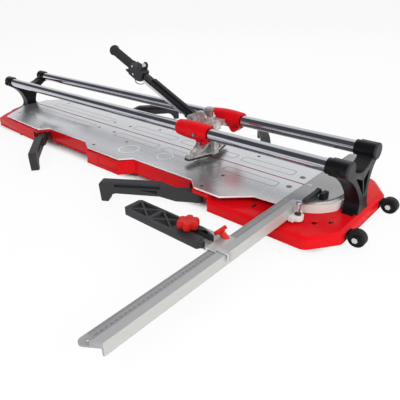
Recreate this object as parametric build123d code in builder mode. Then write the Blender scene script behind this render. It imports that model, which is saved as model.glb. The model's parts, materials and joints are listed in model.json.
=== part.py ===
"""Manual tile cutter: rails, carriage, cutting head, table, swing arms and swivelling ruler.

Millimetres. X runs along the rails with +X towards the ruler, Y is across, Z is up.
The origin is under the middle of the base, on the floor.
"""
import os
from math import cos, radians, sin

from build123d import *

os.makedirs("parts", exist_ok=True)

# Solids that stand on their place, or hang below it
rising = (Align.CENTER, Align.CENTER, Align.MIN)
hanging = (Align.CENTER, Align.CENTER, Align.MAX)

# Rails and supports
rail_d = 33.0
rail_wall = 2.2
rail_y = 77.0
rail_z = 174.0
rail_free = 1477.0
collar_x = rail_free / 2
head_r = 22.0
head_ends = {1: 790.0, -1: 776.0}
cap_t = 6.5

# Base: plan outline, heights and sheet thickness
base_front = 815.0
base_rear = -812.0
lobe_y = 202.0
notch_y = 160.0
notch_rear = (-372.0, -345.0, -115.0, -55.0)
notch_front = (108.0, 140.0, 386.0, 426.0)
skirt_bottom = 15.0
deck_z = 60.0
platform_z = 45.0
deck_rear = -640.0
deck_front = 478.0
sheet = 2.0

# Table plates
table_z = 68.0
plate_t = 5.0
plate_y = 195.0
plate_notch_y = 161.5
plate_front = 645.0
plate_rear = -735.0
plate_gap = 2.2
seam_x = -154.0
seam_gap = 0.8
plate_screw_points = ((-200, 38), (-108, 38), (-60, 166), (11, 79), (-600, 90), (440, 90))
screw_d = 10.0
stop_point = (621.0, 36.0)
stop_d = 15.0

# Swing arms: pivot places, length and how far each stands open
arm_pivot_y = 178.0
arm_rear_x = -375.0
arm_front_x = 423.0
arm_length = 266.0
arm_width = 25.0
arm_bottom = 18.0
arm_root_top = 50.0
arm_top = 66.5
arm_foot = 6.0
arm_open = {"rear_left": 37.0, "front_left": 32.0, "rear_right": 45.0, "front_right": 50.0}
arm_pin_d = 12.0

# Transport wheels
wheel_x = 840.0
wheel_y = 100.0
wheel_z = 29.7
wheel_r = 21.0
wheel_w = 23.0

# Carriage and cutting head
carriage_rear = 265.0
carriage_front = 383.0
housing_r = 24.0
bush_wall = 1.5
running_clearance = 0.08
head_centre_x = 318.0
shaft_d = 22.0
foot_bottom = 82.0
foot_half_span = 93.0
pad_t = 3.0
scorer_r = 11.0
scorer_z = 89.0

# Lever
lever_x = 257.0
lever_z = 180.0
lever_rise = 25.2
lever_tube_side = 18.0
lever_pin_d = 12.0
lever_end = 414.0
grip_start = 300.0
block_start = 238.0
grip_r = 15.0

# Ruler, swivel and index
swivel_x = 662.0
swivel_r = 90.0
swivel_base_r = 105.0
ruler_rear = 650.0
ruler_front = 695.0
ruler_ridge = 676.0
ruler_bottom = 68.6
ruler_top = 72.5
ridge_top = 80.5
ruler_skirt = 53.0
ruler_start = -112.0
ruler_end = -729.0
ruler_end_skew = 30.0
far_start = 91.0
far_end = 275.0
index_x = 709.0
index_y = -143.0
index_step = 15.0
index_stops = 3
index_hole_r = 7.0
swivel_pin_d = 12.0
clamp_bolt = (725.5, -48.0)

# Side stop
fence_x = (389.0, 634.0)
fence_y = (-411.0, -351.0)
fence_z = (69.0, 83.0)
star_x = 572.0
star_y = -375.0
side_knob_root = (652.0, -346.0, 75.0)
side_stem_r = 4.0


def save(piece, name):
    """Label a finished piece and write it under its own name."""
    piece.label = name
    export_step(piece, f"parts/{name}.step")


def across(y):
    """Plane of a side view at a given Y, with local x along X and local y along Z."""
    return Plane(origin=(0, y, 0), x_dir=(1, 0, 0), z_dir=(0, -1, 0))


def notch_points(lobe, floor):
    """Near-side outline points of the two arm notches, from the front to the rear."""
    points = []
    for rear_top, rear_floor, front_floor, front_top in (notch_front, notch_rear):
        points.append((front_top, -lobe))
        points.append((front_floor, -floor))
        points.append((rear_floor, -floor))
        points.append((rear_top, -lobe))
    return points


# Base plan: flanks with arm notches, cut front corners and a bowed rear
front_flank_x = 600.0
rear_corner = (-715.0, -188.0)
rear_flat = 26.0
with BuildSketch() as base_plan:
    with BuildLine():
        FilletPolyline(
            (base_front, 0), (base_front, -128), (760, -lobe_y), (front_flank_x, -lobe_y), radius=25
        )
        Polyline((front_flank_x, -lobe_y), *notch_points(lobe_y, notch_y), rear_corner)
        ThreePointArc(rear_corner, (-784, -92), (base_rear, -rear_flat))
        Line((base_rear, -rear_flat), (base_rear, 0))
        mirror(about=Plane.XZ)
    make_face()

rim_bevel = (7.0, 9.0)


def grown_plan(amount):
    """The base plan moved outwards by an amount, or inwards for a negative one."""
    return offset(base_plan.sketch, amount=amount, kind=Kind.INTERSECTION, mode=Mode.PRIVATE)


inner_plan = grown_plan(-sheet)
rim_plan = grown_plan(-sheet - rim_bevel[1])

arm_cutouts = ((arm_rear_x, -30, 34), (arm_front_x, -46, 53))

with BuildPart() as base_frame:
    with BuildSketch(Plane.XY.offset(skirt_bottom)):
        add(base_plan.sketch)
    extrude(amount=deck_z - skirt_bottom)
    # The two ends are lower than the deck
    with Locations((deck_front, 0, platform_z)):
        Box(400, 500, 40, align=(Align.MIN, Align.CENTER, Align.MIN), mode=Mode.SUBTRACT)
    with Locations((deck_rear, 0, platform_z)):
        Box(300, 500, 40, align=(Align.MAX, Align.CENTER, Align.MIN), mode=Mode.SUBTRACT)
    platform_rims = (
        base_frame.edges()
        .filter_by_position(Axis.Z, platform_z - 0.1, platform_z + 0.1)
        .filter_by_position(Axis.X, deck_front + 5, base_front + 1)
    )
    chamfer(platform_rims, length=rim_bevel[0], length2=rim_bevel[1])
    # Rolled lower edge, then the hollow underside
    with BuildSketch(Plane.XY.offset(skirt_bottom)):
        add(grown_plan(sheet))
    extrude(amount=sheet)
    bevel_foot = platform_z - rim_bevel[1] - sheet
    with BuildSketch(Plane.XY.offset(skirt_bottom)):
        add(inner_plan)
    extrude(amount=bevel_foot - skirt_bottom, mode=Mode.SUBTRACT)
    # The hollow keeps inside the bevelled rim of the front platform
    with BuildSketch(Plane.XY.offset(bevel_foot)):
        add(inner_plan)
        with Locations((deck_front - sheet, 0)):
            Rectangle(2000, 500, align=(Align.MAX, Align.CENTER), mode=Mode.INTERSECT)
        add(rim_plan)
    extrude(amount=rim_bevel[1], mode=Mode.SUBTRACT)
    with BuildSketch(Plane.XY.offset(platform_z - sheet - 1)):
        add(inner_plan)
        with Locations(((deck_rear + deck_front) / 2, 0)):
            Rectangle(deck_front - deck_rear - 2 * sheet, 500, mode=Mode.INTERSECT)
    extrude(amount=deck_z - platform_z + 1, mode=Mode.SUBTRACT)
    # Openings for the swing arms in the lobe corners
    for pivot_x, before, after in arm_cutouts:
        for side in (-1, 1):
            with Locations((pivot_x + (before + after) / 2, side * 178, skirt_bottom - 5)):
                Box(
                    after - before,
                    56,
                    43,
                    align=rising,
                    mode=Mode.SUBTRACT,
                )
    # Index holes on a circle round the swivel pin
    with BuildSketch(Plane.XY.offset(platform_z)):
        with Locations((swivel_x, 0)):
            for step in range(index_stops):
                with Locations(Rotation(0, 0, step * index_step)):
                    with Locations((index_x - swivel_x, index_y)):
                        Circle(index_hole_r)
    extrude(amount=-2 * sheet, mode=Mode.SUBTRACT)
save(base_frame.part, "base_frame")

# Cross members, open at the top, that carry the feet
cross_half_spans = {-560.0: 190.0, 0.0: lobe_y - sheet, 560.0: 190.0}
cross_w = 40.0
cross_top = platform_z - sheet
with BuildPart() as cross_members:
    for cross_x, half_span in cross_half_spans.items():
        with Locations((cross_x, 0, skirt_bottom)):
            Box(cross_w, 2 * half_span, cross_top - skirt_bottom, align=rising)
        with Locations((cross_x, 0, skirt_bottom + sheet)):
            Box(cross_w - 2 * sheet, 2 * lobe_y, cross_top, align=rising, mode=Mode.SUBTRACT)
save(cross_members.part, "cross_members")

# Channel under the deck that backs the breaking bar
beam_ends = (-620.0, 470.0)
with BuildPart() as centre_beam:
    with BuildSketch(Plane.YZ.offset(beam_ends[0])):
        with Locations((0, cross_top)):
            Rectangle(50, deck_z - sheet - cross_top, align=(Align.CENTER, Align.MIN))
            Rectangle(
                44,
                deck_z - 2 * sheet - cross_top,
                align=(Align.CENTER, Align.MIN),
                mode=Mode.SUBTRACT,
            )
    extrude(amount=beam_ends[1] - beam_ends[0])
save(centre_beam.part, "centre_beam")

# Breaking bar: an inverted T whose web shows as the line between the plates
with BuildPart() as breaking_bar:
    with BuildSketch(Plane.YZ.offset(plate_rear)):
        with Locations((0, deck_z)):
            Rectangle(18, 1, align=(Align.CENTER, Align.MIN))
            Rectangle(3, table_z - deck_z, align=(Align.CENTER, Align.MIN))
    extrude(amount=plate_front - plate_rear)
save(breaking_bar.part, "breaking_bar")

# Rubber feet under the cross members, with one under the middle
foot_points = [(x, side * 165, 0) for x in cross_half_spans for side in (-1, 1)] + [(0, 0, 0)]
with BuildPart() as rubber_feet:
    with Locations(foot_points):
        Cone(17, 15, skirt_bottom, align=rising)
save(rubber_feet.part, "rubber_feet")

# End supports: a leaning, waisted Y casting with two clamp heads and lightened webs
neck_x = (767.0, 807.0)
neck_half = 30.0
flange_x = (772.0, 800.0)
flange_half = 42.0
foot_t = 6.0
waist = 22.0
collar_r = 19.5
collar_w = 10.0
head_flat = 20.0
clamp_bolt_x = 768.0


def end_support(head_end):
    """The front support casting, with its clamp heads up to head_end; the rear one is mirrored."""
    with BuildPart() as casting:
        # Y outline across the rails
        with BuildSketch(Plane.YZ.offset(collar_x)):
            with BuildLine():
                Polyline((0, platform_z), (neck_half, platform_z), (neck_half - 2, platform_z + 8))
                ThreePointArc((neck_half - 2, platform_z + 8), (waist + 1, platform_z + 18), (waist, 75))
                ThreePointArc((waist, 75), (39, 115), (84, 153))
                Polyline((84, 153), (rail_y, rail_z), (60, 170))
                ThreePointArc((60, 170), (31, 153), (0, 147))
                mirror(about=Plane.YZ)
            make_face()
        extrude(amount=base_front - collar_x)
        # Side view that leans back towards the rails
        with BuildSketch(across(0)):
            with BuildLine():
                Polyline(
                    (neck_x[0], platform_z), (neck_x[1], platform_z), (804, 80), (793, 150),
                    (head_end, 200), (750, 200), (755, 150), (765, 96), (neck_x[0], platform_z),
                )
            make_face()
        extrude(amount=150, both=True, mode=Mode.INTERSECT)
        with Locations(((flange_x[0] + flange_x[1]) / 2, 0, platform_z)):
            Box(flange_x[1] - flange_x[0], 2 * flange_half, foot_t, align=rising)
        # Web pockets either side of a middle rib
        with BuildSketch(Plane.YZ.offset(base_front)):
            for side in (-1, 1):
                with BuildLine():
                    Polyline((side * 3, 86), (side * 3, 126), (side * 40, 143), (side * 3, 86))
                make_face()
        extrude(amount=-34, mode=Mode.SUBTRACT)
        # Clamp heads, flat on top, with a stepped collar and a bolt boss on the outer side
        with BuildSketch(Plane.YZ.offset(collar_x + collar_w)):
            with Locations((rail_y, rail_z), (-rail_y, rail_z)):
                Circle(head_r)
        extrude(amount=head_end - collar_x - collar_w)
        with Locations((head_end, 0, rail_z + head_flat)):
            Box(200, 400, 30, align=rising, mode=Mode.SUBTRACT)
        with BuildSketch(Plane.YZ.offset(collar_x)):
            with Locations((rail_y, rail_z), (-rail_y, rail_z)):
                Circle(collar_r)
        extrude(amount=collar_w)
        for side in (-1, 1):
            with BuildSketch(across(side * rail_y)):
                with Locations((clamp_bolt_x, rail_z - 4)):
                    Circle(9)
            extrude(amount=-side * (head_r + 1))
        # Room for the end caps, and the rail bores
        with BuildSketch(Plane.YZ.offset(head_end)):
            with Locations((rail_y, rail_z), (-rail_y, rail_z)):
                Circle(head_r + 0.4)
        extrude(amount=30, mode=Mode.SUBTRACT)
        with BuildSketch(Plane.YZ.offset(collar_x)):
            with Locations((rail_y, rail_z), (-rail_y, rail_z)):
                Circle(rail_d / 2 + 0.05)
        extrude(amount=head_end - collar_x, mode=Mode.SUBTRACT)
    return casting.part


save(end_support(head_ends[1]), "front_support")
save(end_support(head_ends[-1]).mirror(Plane.YZ), "rear_support")


def rail(side):
    """One rail tube from end to end."""
    with BuildPart() as tube:
        with BuildSketch(Plane.YZ.offset(-head_ends[-1])):
            with Locations((side * rail_y, rail_z)):
                Circle(rail_d / 2)
                Circle(rail_d / 2 - rail_wall, mode=Mode.SUBTRACT)
        extrude(amount=head_ends[-1] + head_ends[1])
    return tube.part


save(rail(-1), "rail_left")
save(rail(1), "rail_right")

# Round caps on the four clamp heads
with BuildPart() as rail_caps:
    for end, reach in head_ends.items():
        with BuildSketch(Plane.YZ.offset(end * reach)):
            with Locations((rail_y, rail_z), (-rail_y, rail_z)):
                Circle(head_r)
        extrude(amount=end * cap_t)
    outer_faces = rail_caps.faces().sort_by(Axis.X)
    chamfer((outer_faces[:2] + outer_faces[-2:]).edges(), length=2.5)
save(rail_caps.part, "rail_caps")

# Bolts: two at each support foot and one in each clamp head
with BuildPart() as support_bolts:
    for end in (-1, 1):
        for side in (-1, 1):
            with BuildSketch(Plane.XY.offset(platform_z + foot_t)):
                with Locations((end * (flange_x[0] + flange_x[1]) / 2, side * 36)):
                    RegularPolygon(5.5, 6)
            extrude(amount=5)
            with BuildSketch(across(side * (rail_y + head_r + 1))):
                with Locations((end * clamp_bolt_x, rail_z - 4)):
                    RegularPolygon(6, 6)
            extrude(amount=-side * 4)
save(support_bolts.part, "support_bolts")

# Trim strip round the rear end
with BuildPart() as rear_trim:
    with BuildSketch(Plane.XY.offset(skirt_bottom + 8)):
        add(grown_plan(2 * sheet))
        add(base_plan.sketch, mode=Mode.SUBTRACT)
        with Locations((base_rear, 0)):
            Rectangle(50, 600, mode=Mode.INTERSECT)
    extrude(amount=platform_z + 1 - skirt_bottom - 8)
save(rear_trim.part, "rear_trim")

# Transport wheels: a cheek plate, a through bolt and a rubber-tyred wheel at each side
cheek_gap = 1.0
cheek_t = 5.0
with BuildPart() as wheel_brackets:
    for side in (-1, 1):
        cheek_y = side * wheel_y + wheel_w / 2 + cheek_gap
        with BuildSketch(across(cheek_y)):
            with BuildLine():
                Polyline(
                    (base_front, 19), (wheel_x, wheel_z - 11), (wheel_x, wheel_z + 11),
                    (base_front, 37), (base_front, 19),
                )
            make_face()
            with Locations((wheel_x, wheel_z)):
                Circle(11)
                Circle(4, mode=Mode.SUBTRACT)
        extrude(amount=-cheek_t)
        with Locations((base_front, cheek_y + cheek_t, 19)):
            Box(3, 26, 18, align=(Align.MIN, Align.MAX, Align.MIN))
save(wheel_brackets.part, "wheel_brackets")

with BuildPart() as wheel_axles:
    for side in (-1, 1):
        bolt_end = side * wheel_y - wheel_w / 2 - cheek_gap
        bolt_length = wheel_w + 2 * cheek_gap + cheek_t
        with BuildSketch(across(bolt_end)):
            with Locations((wheel_x, wheel_z)):
                Circle(4)
        extrude(amount=-bolt_length)
        with BuildSketch(across(bolt_end)):
            with Locations((wheel_x, wheel_z)):
                RegularPolygon(7.5, 6)
        extrude(amount=4.5)
        with BuildSketch(across(bolt_end + bolt_length)):
            with Locations((wheel_x, wheel_z)):
                RegularPolygon(7, 6)
        extrude(amount=-5)
save(wheel_axles.part, "wheel_axles")


def transport_wheel(side):
    """A wheel turned about its bolt, with dished faces and rounded tread edges."""
    axle = Axis((wheel_x, 0, wheel_z), (0, 1, 0))
    with BuildPart() as wheel:
        with BuildSketch(Plane.YZ.offset(wheel_x)):
            half = wheel_w / 2
            middle = side * wheel_y
            bore = 4 + running_clearance
            with BuildLine():
                Polyline(
                    (middle - half, wheel_z + bore), (middle - half, wheel_z + 9),
                    (middle - half + 4, wheel_z + 10), (middle - half + 4, wheel_z + 15),
                    (middle - half, wheel_z + 16.5), (middle - half, wheel_z + wheel_r - 3),
                    (middle - half + 3, wheel_z + wheel_r), (middle + half - 3, wheel_z + wheel_r),
                    (middle + half, wheel_z + wheel_r - 3), (middle + half, wheel_z + 16.5),
                    (middle + half - 4, wheel_z + 15), (middle + half - 4, wheel_z + 10),
                    (middle + half, wheel_z + 9), (middle + half, wheel_z + bore),
                    (middle - half, wheel_z + bore),
                )
            make_face()
        revolve(axis=axle)
    return wheel.part


save(transport_wheel(-1), "wheel_left")
save(transport_wheel(1), "wheel_right")


# Table plates, two in line at each side, with the breaking bar between the sides
def table_plate(side, low_x, high_x):
    """One table plate between two X places, cut out for the arms, screws and stop."""
    with BuildPart() as plate:
        with BuildSketch(Plane.XY.offset(table_z - plate_t)):
            with BuildLine():
                Polyline(
                    (plate_front, -plate_gap), (plate_front, -131), (579, -136), (512, -plate_y),
                    *notch_points(plate_y, plate_notch_y),
                    (-640, -184), (-727, -63), (plate_rear, -63), (plate_rear, -plate_gap),
                    (plate_front, -plate_gap),
                )
            make_face()
            with Locations(((low_x + high_x) / 2, 0)):
                Rectangle(high_x - low_x, 600, mode=Mode.INTERSECT)
            with Locations([(x, -y) for x, y in plate_screw_points]):
                Circle(screw_d / 2 + 0.5, mode=Mode.SUBTRACT)
            with Locations((stop_point[0], -stop_point[1])):
                Circle(stop_d / 2 + 0.5, mode=Mode.SUBTRACT)
            if side > 0:
                mirror(about=Plane.XZ, mode=Mode.REPLACE)
        extrude(amount=plate_t)
    return plate.part


for side_name, side in (("left", -1), ("right", 1)):
    save(table_plate(side, plate_rear, seam_x - seam_gap / 2), f"plate_{side_name}_rear")
    save(table_plate(side, seam_x + seam_gap / 2, plate_front), f"plate_{side_name}_front")

with BuildPart() as plate_screws:
    with Locations([(x, side * y, deck_z) for x, y in plate_screw_points for side in (-1, 1)]):
        Cylinder(screw_d / 2, 7.2, align=rising)
save(plate_screws.part, "plate_screws")


# Rubber buffers under the plates, and two taller stops that show through them
buffer_xs = (-500, -270, 40, 260, 400)
buffer_ys = (60, 140)


def buffer_row(side):
    """The rubber pads that carry the plates of one side."""
    with BuildPart() as pads:
        with BuildSketch(Plane.XY.offset(deck_z)):
            with Locations([(x, side * y) for x in buffer_xs for y in buffer_ys]):
                Circle(11)
        extrude(amount=table_z - plate_t - deck_z)
    return pads.part


save(buffer_row(-1), "buffers_left")
save(buffer_row(1), "buffers_right")

with BuildPart() as plate_stops:
    with Locations([(stop_point[0], side * stop_point[1], platform_z) for side in (-1, 1)]):
        Cylinder(
            stop_d / 2, table_z - platform_z - 0.4, align=rising
        )
save(plate_stops.part, "plate_stops")


# Swing arms: a low root under the deck that rises to a beam at table height, with a foot
def swing_arm(pivot_x, pivot_y, heading):
    """An arm with its root ring on the pivot, pointing along a heading in degrees."""
    pivot = Plane(origin=(pivot_x, pivot_y, 0), x_dir=(cos(radians(heading)), sin(radians(heading)), 0))
    side_view = Plane(origin=pivot.origin, x_dir=pivot.x_dir, z_dir=pivot.y_dir * -1)
    with BuildPart() as arm:
        with BuildSketch(side_view):
            with BuildLine():
                Polyline((0, arm_bottom), (60, arm_bottom), (105, 30), (arm_length - 42, 32))
                ThreePointArc((arm_length - 42, 32), (arm_length - 20, 25), (arm_length - 12, 9))
                Polyline(
                    (arm_length - 12, 9), (arm_length - 9, arm_foot), (arm_length + 8, arm_foot),
                    (arm_length + 11, 9), (arm_length + 13, 54),
                )
                ThreePointArc((arm_length + 13, 54), (arm_length + 10, 63), (arm_length + 2, arm_top))
                Polyline(
                    (arm_length + 2, arm_top), (104, arm_top), (66, arm_root_top), (0, arm_root_top),
                    (0, arm_bottom),
                )
            make_face()
        extrude(amount=arm_width / 2, both=True)
        with BuildSketch(pivot.offset(arm_bottom)):
            Circle(16)
        extrude(amount=arm_root_top - arm_bottom)
        # A long slot recess and a wedge recess in both flanks
        for flank in (-1, 1):
            with BuildSketch(side_view.offset(flank * arm_width / 2)):
                with Locations((168, 56)):
                    SlotOverall(132, 9)
                with BuildLine():
                    Polyline((112, 47), (112, 37), (165, 47), (112, 47))
                make_face()
            extrude(amount=-flank * 8, mode=Mode.SUBTRACT)
        with BuildSketch(pivot.offset(arm_bottom)):
            Circle(arm_pin_d / 2 + running_clearance)
        extrude(amount=arm_root_top - arm_bottom, mode=Mode.SUBTRACT)
    return arm.part


arm_places = {
    "rear_left": (arm_rear_x, -arm_pivot_y, -arm_open["rear_left"]),
    "front_left": (arm_front_x, -arm_pivot_y, 180 + arm_open["front_left"]),
    "rear_right": (arm_rear_x, arm_pivot_y, arm_open["rear_right"]),
    "front_right": (arm_front_x, arm_pivot_y, 180 - arm_open["front_right"]),
}
for arm_name, (pivot_x, pivot_y, heading) in arm_places.items():
    save(swing_arm(pivot_x, pivot_y, heading), f"arm_{arm_name}")

# Shoulder bolts that hold the arms under the deck
washer_gap = 0.4
with BuildPart() as arm_pivots:
    for pivot_x, pivot_y, heading in arm_places.values():
        with Locations((pivot_x, pivot_y, arm_bottom - washer_gap)):
            Cylinder(10, 6, align=hanging)
            Cylinder(arm_pin_d / 2, arm_root_top - arm_bottom + 2 * washer_gap, align=rising)
        with Locations((pivot_x, pivot_y, deck_z - sheet)):
            Cylinder(10, deck_z - sheet - arm_root_top - washer_gap, align=hanging)
save(arm_pivots.part, "arm_pivots")

# Carriage housings: swelling sleeves round the rails, fluted behind, with a lug below
flute_count = 5
flute_r = 2.6
flute_slope = 0.085
bush_r = rail_d / 2 + running_clearance + bush_wall
bolt_pad = housing_r + 2.5
pad_bolt = (348.0, 172.0)
lug_half = 14.0
lug_bolt = (358.0, 145.5)

# Half section of a sleeve, with local x along the rail and local y out from its axis
with BuildSketch() as sleeve_section:
    with BuildLine():
        Polyline((carriage_rear, 0), (carriage_rear, 19), (carriage_rear + 4, 22.5))
        ThreePointArc((carriage_rear + 4, 22.5), (330, 26.5), (carriage_front, 23.5))
        Polyline((carriage_front, 23.5), (carriage_front, 0), (carriage_rear, 0))
    make_face()


def sleeve_plane(side):
    """Side view plane through the axis of one rail."""
    return Plane(origin=(0, side * rail_y, rail_z), x_dir=(1, 0, 0), z_dir=(0, -1, 0))


def rail_housing(side):
    """The sleeve of one rail; its flutes and lug bolt face outwards."""
    rail_axis = Axis((0, side * rail_y, rail_z), (1, 0, 0))
    with BuildPart() as housing:
        with BuildSketch(sleeve_plane(side)):
            add(sleeve_section.sketch)
        revolve(axis=rail_axis)
        # Lug under the front half, drawn from the side
        with BuildSketch(across(side * rail_y - lug_half)):
            with BuildLine():
                Polyline((322, 168), (339, 153), (347, 142))
                ThreePointArc((347, 142), (357, 136.5), (367, 140))
                Polyline((367, 140), (carriage_front, 155), (carriage_front, 168), (322, 168))
            make_face()
        extrude(amount=-2 * lug_half)
        # Flat pad for a clamp bolt beside the rail
        with BuildSketch(across(side * (rail_y + bolt_pad))):
            with Locations(pad_bolt):
                Circle(9)
        extrude(amount=side * 16)
        # Flutes that start deep at the rear and run out along the swell
        for flute in range(flute_count):
            angle = radians(-60 + flute * 27)
            out = (side * cos(angle), sin(angle))
            with BuildSketch(Plane.YZ.offset(carriage_rear - 3)):
                with Locations((side * rail_y + 23 * out[0], rail_z + 23 * out[1])):
                    Circle(flute_r)
            extrude(amount=70, dir=(1, flute_slope * out[0], flute_slope * out[1]), mode=Mode.SUBTRACT)
        with BuildSketch(Plane.YZ.offset(carriage_rear)):
            with Locations((side * rail_y, rail_z)):
                Circle(bush_r)
        extrude(amount=carriage_front - carriage_rear, mode=Mode.SUBTRACT)
    return housing.part


save(rail_housing(-1), "housing_left")
save(rail_housing(1), "housing_right")

bush_length = 20.0
bush_inset = 3.0
with BuildPart() as rail_bushes:
    for bush_x in (carriage_rear + bush_inset, carriage_front - bush_inset - bush_length):
        with BuildSketch(Plane.YZ.offset(bush_x)):
            with Locations((rail_y, rail_z), (-rail_y, rail_z)):
                Circle(bush_r)
                Circle(rail_d / 2 + running_clearance, mode=Mode.SUBTRACT)
        extrude(amount=bush_length)
save(rail_bushes.part, "rail_bushes")

# Bridge casting: guide boss, scalloped front, and rounded cheeks that carry the lever
ear_gap = 13.6
ear_t = 7.0
cheek_x = 298.0
cheek_z = 189.0
cheek_r = 23.0
bridge_x = (288.0, 348.0)
bridge_z = (158.0, 177.0)
boss_z = (158.0, 196.0)
with BuildPart() as carriage_bridge:
    with BuildSketch(Plane.XY.offset(bridge_z[0])):
        with Locations(((bridge_x[0] + bridge_x[1]) / 2, 0)):
            Rectangle(bridge_x[1] - bridge_x[0], 2 * rail_y - 30)
        with Locations((bridge_x[1] + 6, 38), (bridge_x[1] + 6, -38)):
            Circle(22, mode=Mode.SUBTRACT)
    extrude(amount=bridge_z[1] - bridge_z[0])
    with Locations((head_centre_x, 0, boss_z[0])):
        Cylinder(18, boss_z[1] - boss_z[0], align=rising)
    # Each cheek is a round plate dished on its outer face, with an ear for the lever pin
    for side in (-1, 1):
        with BuildSketch(across(side * ear_gap)):
            with Locations((lever_x, lever_z)):
                Circle(14)
            with Locations((cheek_x, cheek_z)):
                Circle(cheek_r)
            with BuildLine():
                Polyline(
                    (lever_x - 3, lever_z + 13.6), (cheek_x - 5, cheek_z + 22.4),
                    (cheek_x + 20, cheek_z - 12), (cheek_x + 20, bridge_z[0]),
                    (lever_x + 6, lever_z - 12.6), (lever_x - 3, lever_z + 13.6),
                )
            make_face()
            with Locations((lever_x, lever_z)):
                Circle(lever_pin_d / 2, mode=Mode.SUBTRACT)
        extrude(amount=-side * ear_t)
        with BuildSketch(across(side * (ear_gap + ear_t))):
            with Locations((cheek_x, cheek_z)):
                Circle(cheek_r - 6)
        extrude(amount=side * 3, mode=Mode.SUBTRACT)
    # Room for the lever hub, the rail sleeves and the shaft
    with Locations((lever_x + 24, 0, lever_z)):
        Box(30, 2 * ear_gap, 80, mode=Mode.SUBTRACT)
    for side in (-1, 1):
        with BuildSketch(sleeve_plane(side)):
            add(sleeve_section.sketch)
        revolve(axis=Axis((0, side * rail_y, rail_z), (1, 0, 0)), mode=Mode.SUBTRACT)
    with Locations((head_centre_x, 0, boss_z[0])):
        Cylinder(
            shaft_d / 2 + running_clearance,
            60,
            align=rising,
            mode=Mode.SUBTRACT,
        )
save(carriage_bridge.part, "carriage_bridge")

# Bolts through the lugs of the housings
with BuildPart() as carriage_bolts:
    for side in (-1, 1):
        for bolt_place, seat in ((pad_bolt, bolt_pad), (lug_bolt, lug_half)):
            with BuildSketch(across(side * (rail_y + seat))):
                with Locations(bolt_place):
                    RegularPolygon(5.5, 6)
            extrude(amount=-side * 4.5)
save(carriage_bolts.part, "carriage_bolts")

with BuildPart() as lever_pin:
    pin_half = ear_gap + ear_t
    with BuildSketch(across(-pin_half)):
        with Locations((lever_x, lever_z)):
            Circle(lever_pin_d / 2)
    extrude(amount=-2 * pin_half)
    for side in (-1, 1):
        with BuildSketch(across(side * pin_half)):
            with Locations((lever_x, lever_z)):
                RegularPolygon(9, 6)
        extrude(amount=-side * 5)
save(lever_pin.part, "lever_pin")

# Cutting head: shaft, winged breaker foot, rubber pads, wheel holder and scoring wheel
neck_top = 144.0
shaft_bottom = 112.0
shaft_top = 214.0
with BuildPart() as head_shaft:
    with Locations((head_centre_x, 0, shaft_bottom)):
        Cylinder(shaft_d / 2, shaft_top - shaft_bottom, align=rising)
    with Locations((head_centre_x, 0, shaft_top)):
        Cylinder(14, 8, align=rising)
    chamfer(head_shaft.faces().sort_by(Axis.Z)[-1].edges(), length=2)
save(head_shaft.part, "head_shaft")

foot_x = (290.0, 344.0)
with BuildPart() as breaker_foot:
    # Bell outline across the table
    with BuildSketch(Plane.YZ.offset(foot_x[0])):
        with BuildLine():
            Polyline((0, foot_bottom), (foot_half_span, foot_bottom), (foot_half_span, foot_bottom + 9))
            Line((foot_half_span, foot_bottom + 9), (82, foot_bottom + 12))
            ThreePointArc((82, foot_bottom + 12), (44, foot_bottom + 25), (20, neck_top - 8))
            Polyline((20, neck_top - 8), (20, neck_top), (0, neck_top))
            mirror(about=Plane.YZ)
        make_face()
    extrude(amount=foot_x[1] - foot_x[0])
    # Plan outline: narrow tips and a wide middle
    with BuildSketch(Plane.XY.offset(foot_bottom)):
        with BuildLine():
            Polyline(
                (298, -foot_half_span), (314, -foot_half_span), (foot_x[1] - 8, -22), (foot_x[1], -10),
                (foot_x[1], 0),
            )
            Polyline((298, -foot_half_span), (foot_x[0], -22), (foot_x[0], 0))
            mirror(about=Plane.XZ)
        make_face()
    extrude(amount=neck_top - foot_bottom, mode=Mode.INTERSECT)
    # Recesses that leave ribs on the front and rear of the wings
    for face_x, depth in ((foot_x[1], -22), (foot_x[0], 16)):
        with BuildSketch(Plane.YZ.offset(face_x)):
            for side in (-1, 1):
                with BuildLine():
                    Polyline(
                        (side * 18, foot_bottom + 8), (side * 36, foot_bottom + 8),
                        (side * 36, foot_bottom + 24), (side * 18, foot_bottom + 42),
                        (side * 18, foot_bottom + 8),
                    )
                make_face()
                with BuildLine():
                    Polyline(
                        (side * 40, foot_bottom + 8), (side * 70, foot_bottom + 8),
                        (side * 40, foot_bottom + 19), (side * 40, foot_bottom + 8),
                    )
                make_face()
        extrude(amount=depth, mode=Mode.SUBTRACT)
    with Locations((head_centre_x, 0, shaft_bottom)):
        Cylinder(shaft_d / 2, 60, align=rising, mode=Mode.SUBTRACT)
    with Locations((head_centre_x, 0, foot_bottom)):
        Box(28, 15, shaft_bottom - foot_bottom, align=rising, mode=Mode.SUBTRACT)
save(breaker_foot.part, "breaker_foot")

with BuildPart() as breaker_pads:
    with BuildSketch(Plane.XY.offset(foot_bottom)):
        for side in (-1, 1):
            with BuildLine():
                Polyline(
                    (299, side * foot_half_span), (313, side * foot_half_span), (332, side * 26),
                    (332, side * 16), (296, side * 16), (296, side * 26), (299, side * foot_half_span),
                )
            make_face()
    extrude(amount=-pad_t)
save(breaker_pads.part, "breaker_pads")

cheek_slot = 3.0
with BuildPart() as wheel_holder:
    with Locations((head_centre_x, 0, shaft_bottom)):
        Box(20, 14, shaft_bottom - scorer_z + 5, align=hanging)
    with Locations((head_centre_x, 0, scorer_z - 6)):
        Box(30, 2 * cheek_slot, 19, align=rising, mode=Mode.SUBTRACT)
    with BuildSketch(across(-7)):
        with Locations((head_centre_x, scorer_z)):
            Circle(2.5)
    extrude(amount=-14)
save(wheel_holder.part, "wheel_holder")

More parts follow.
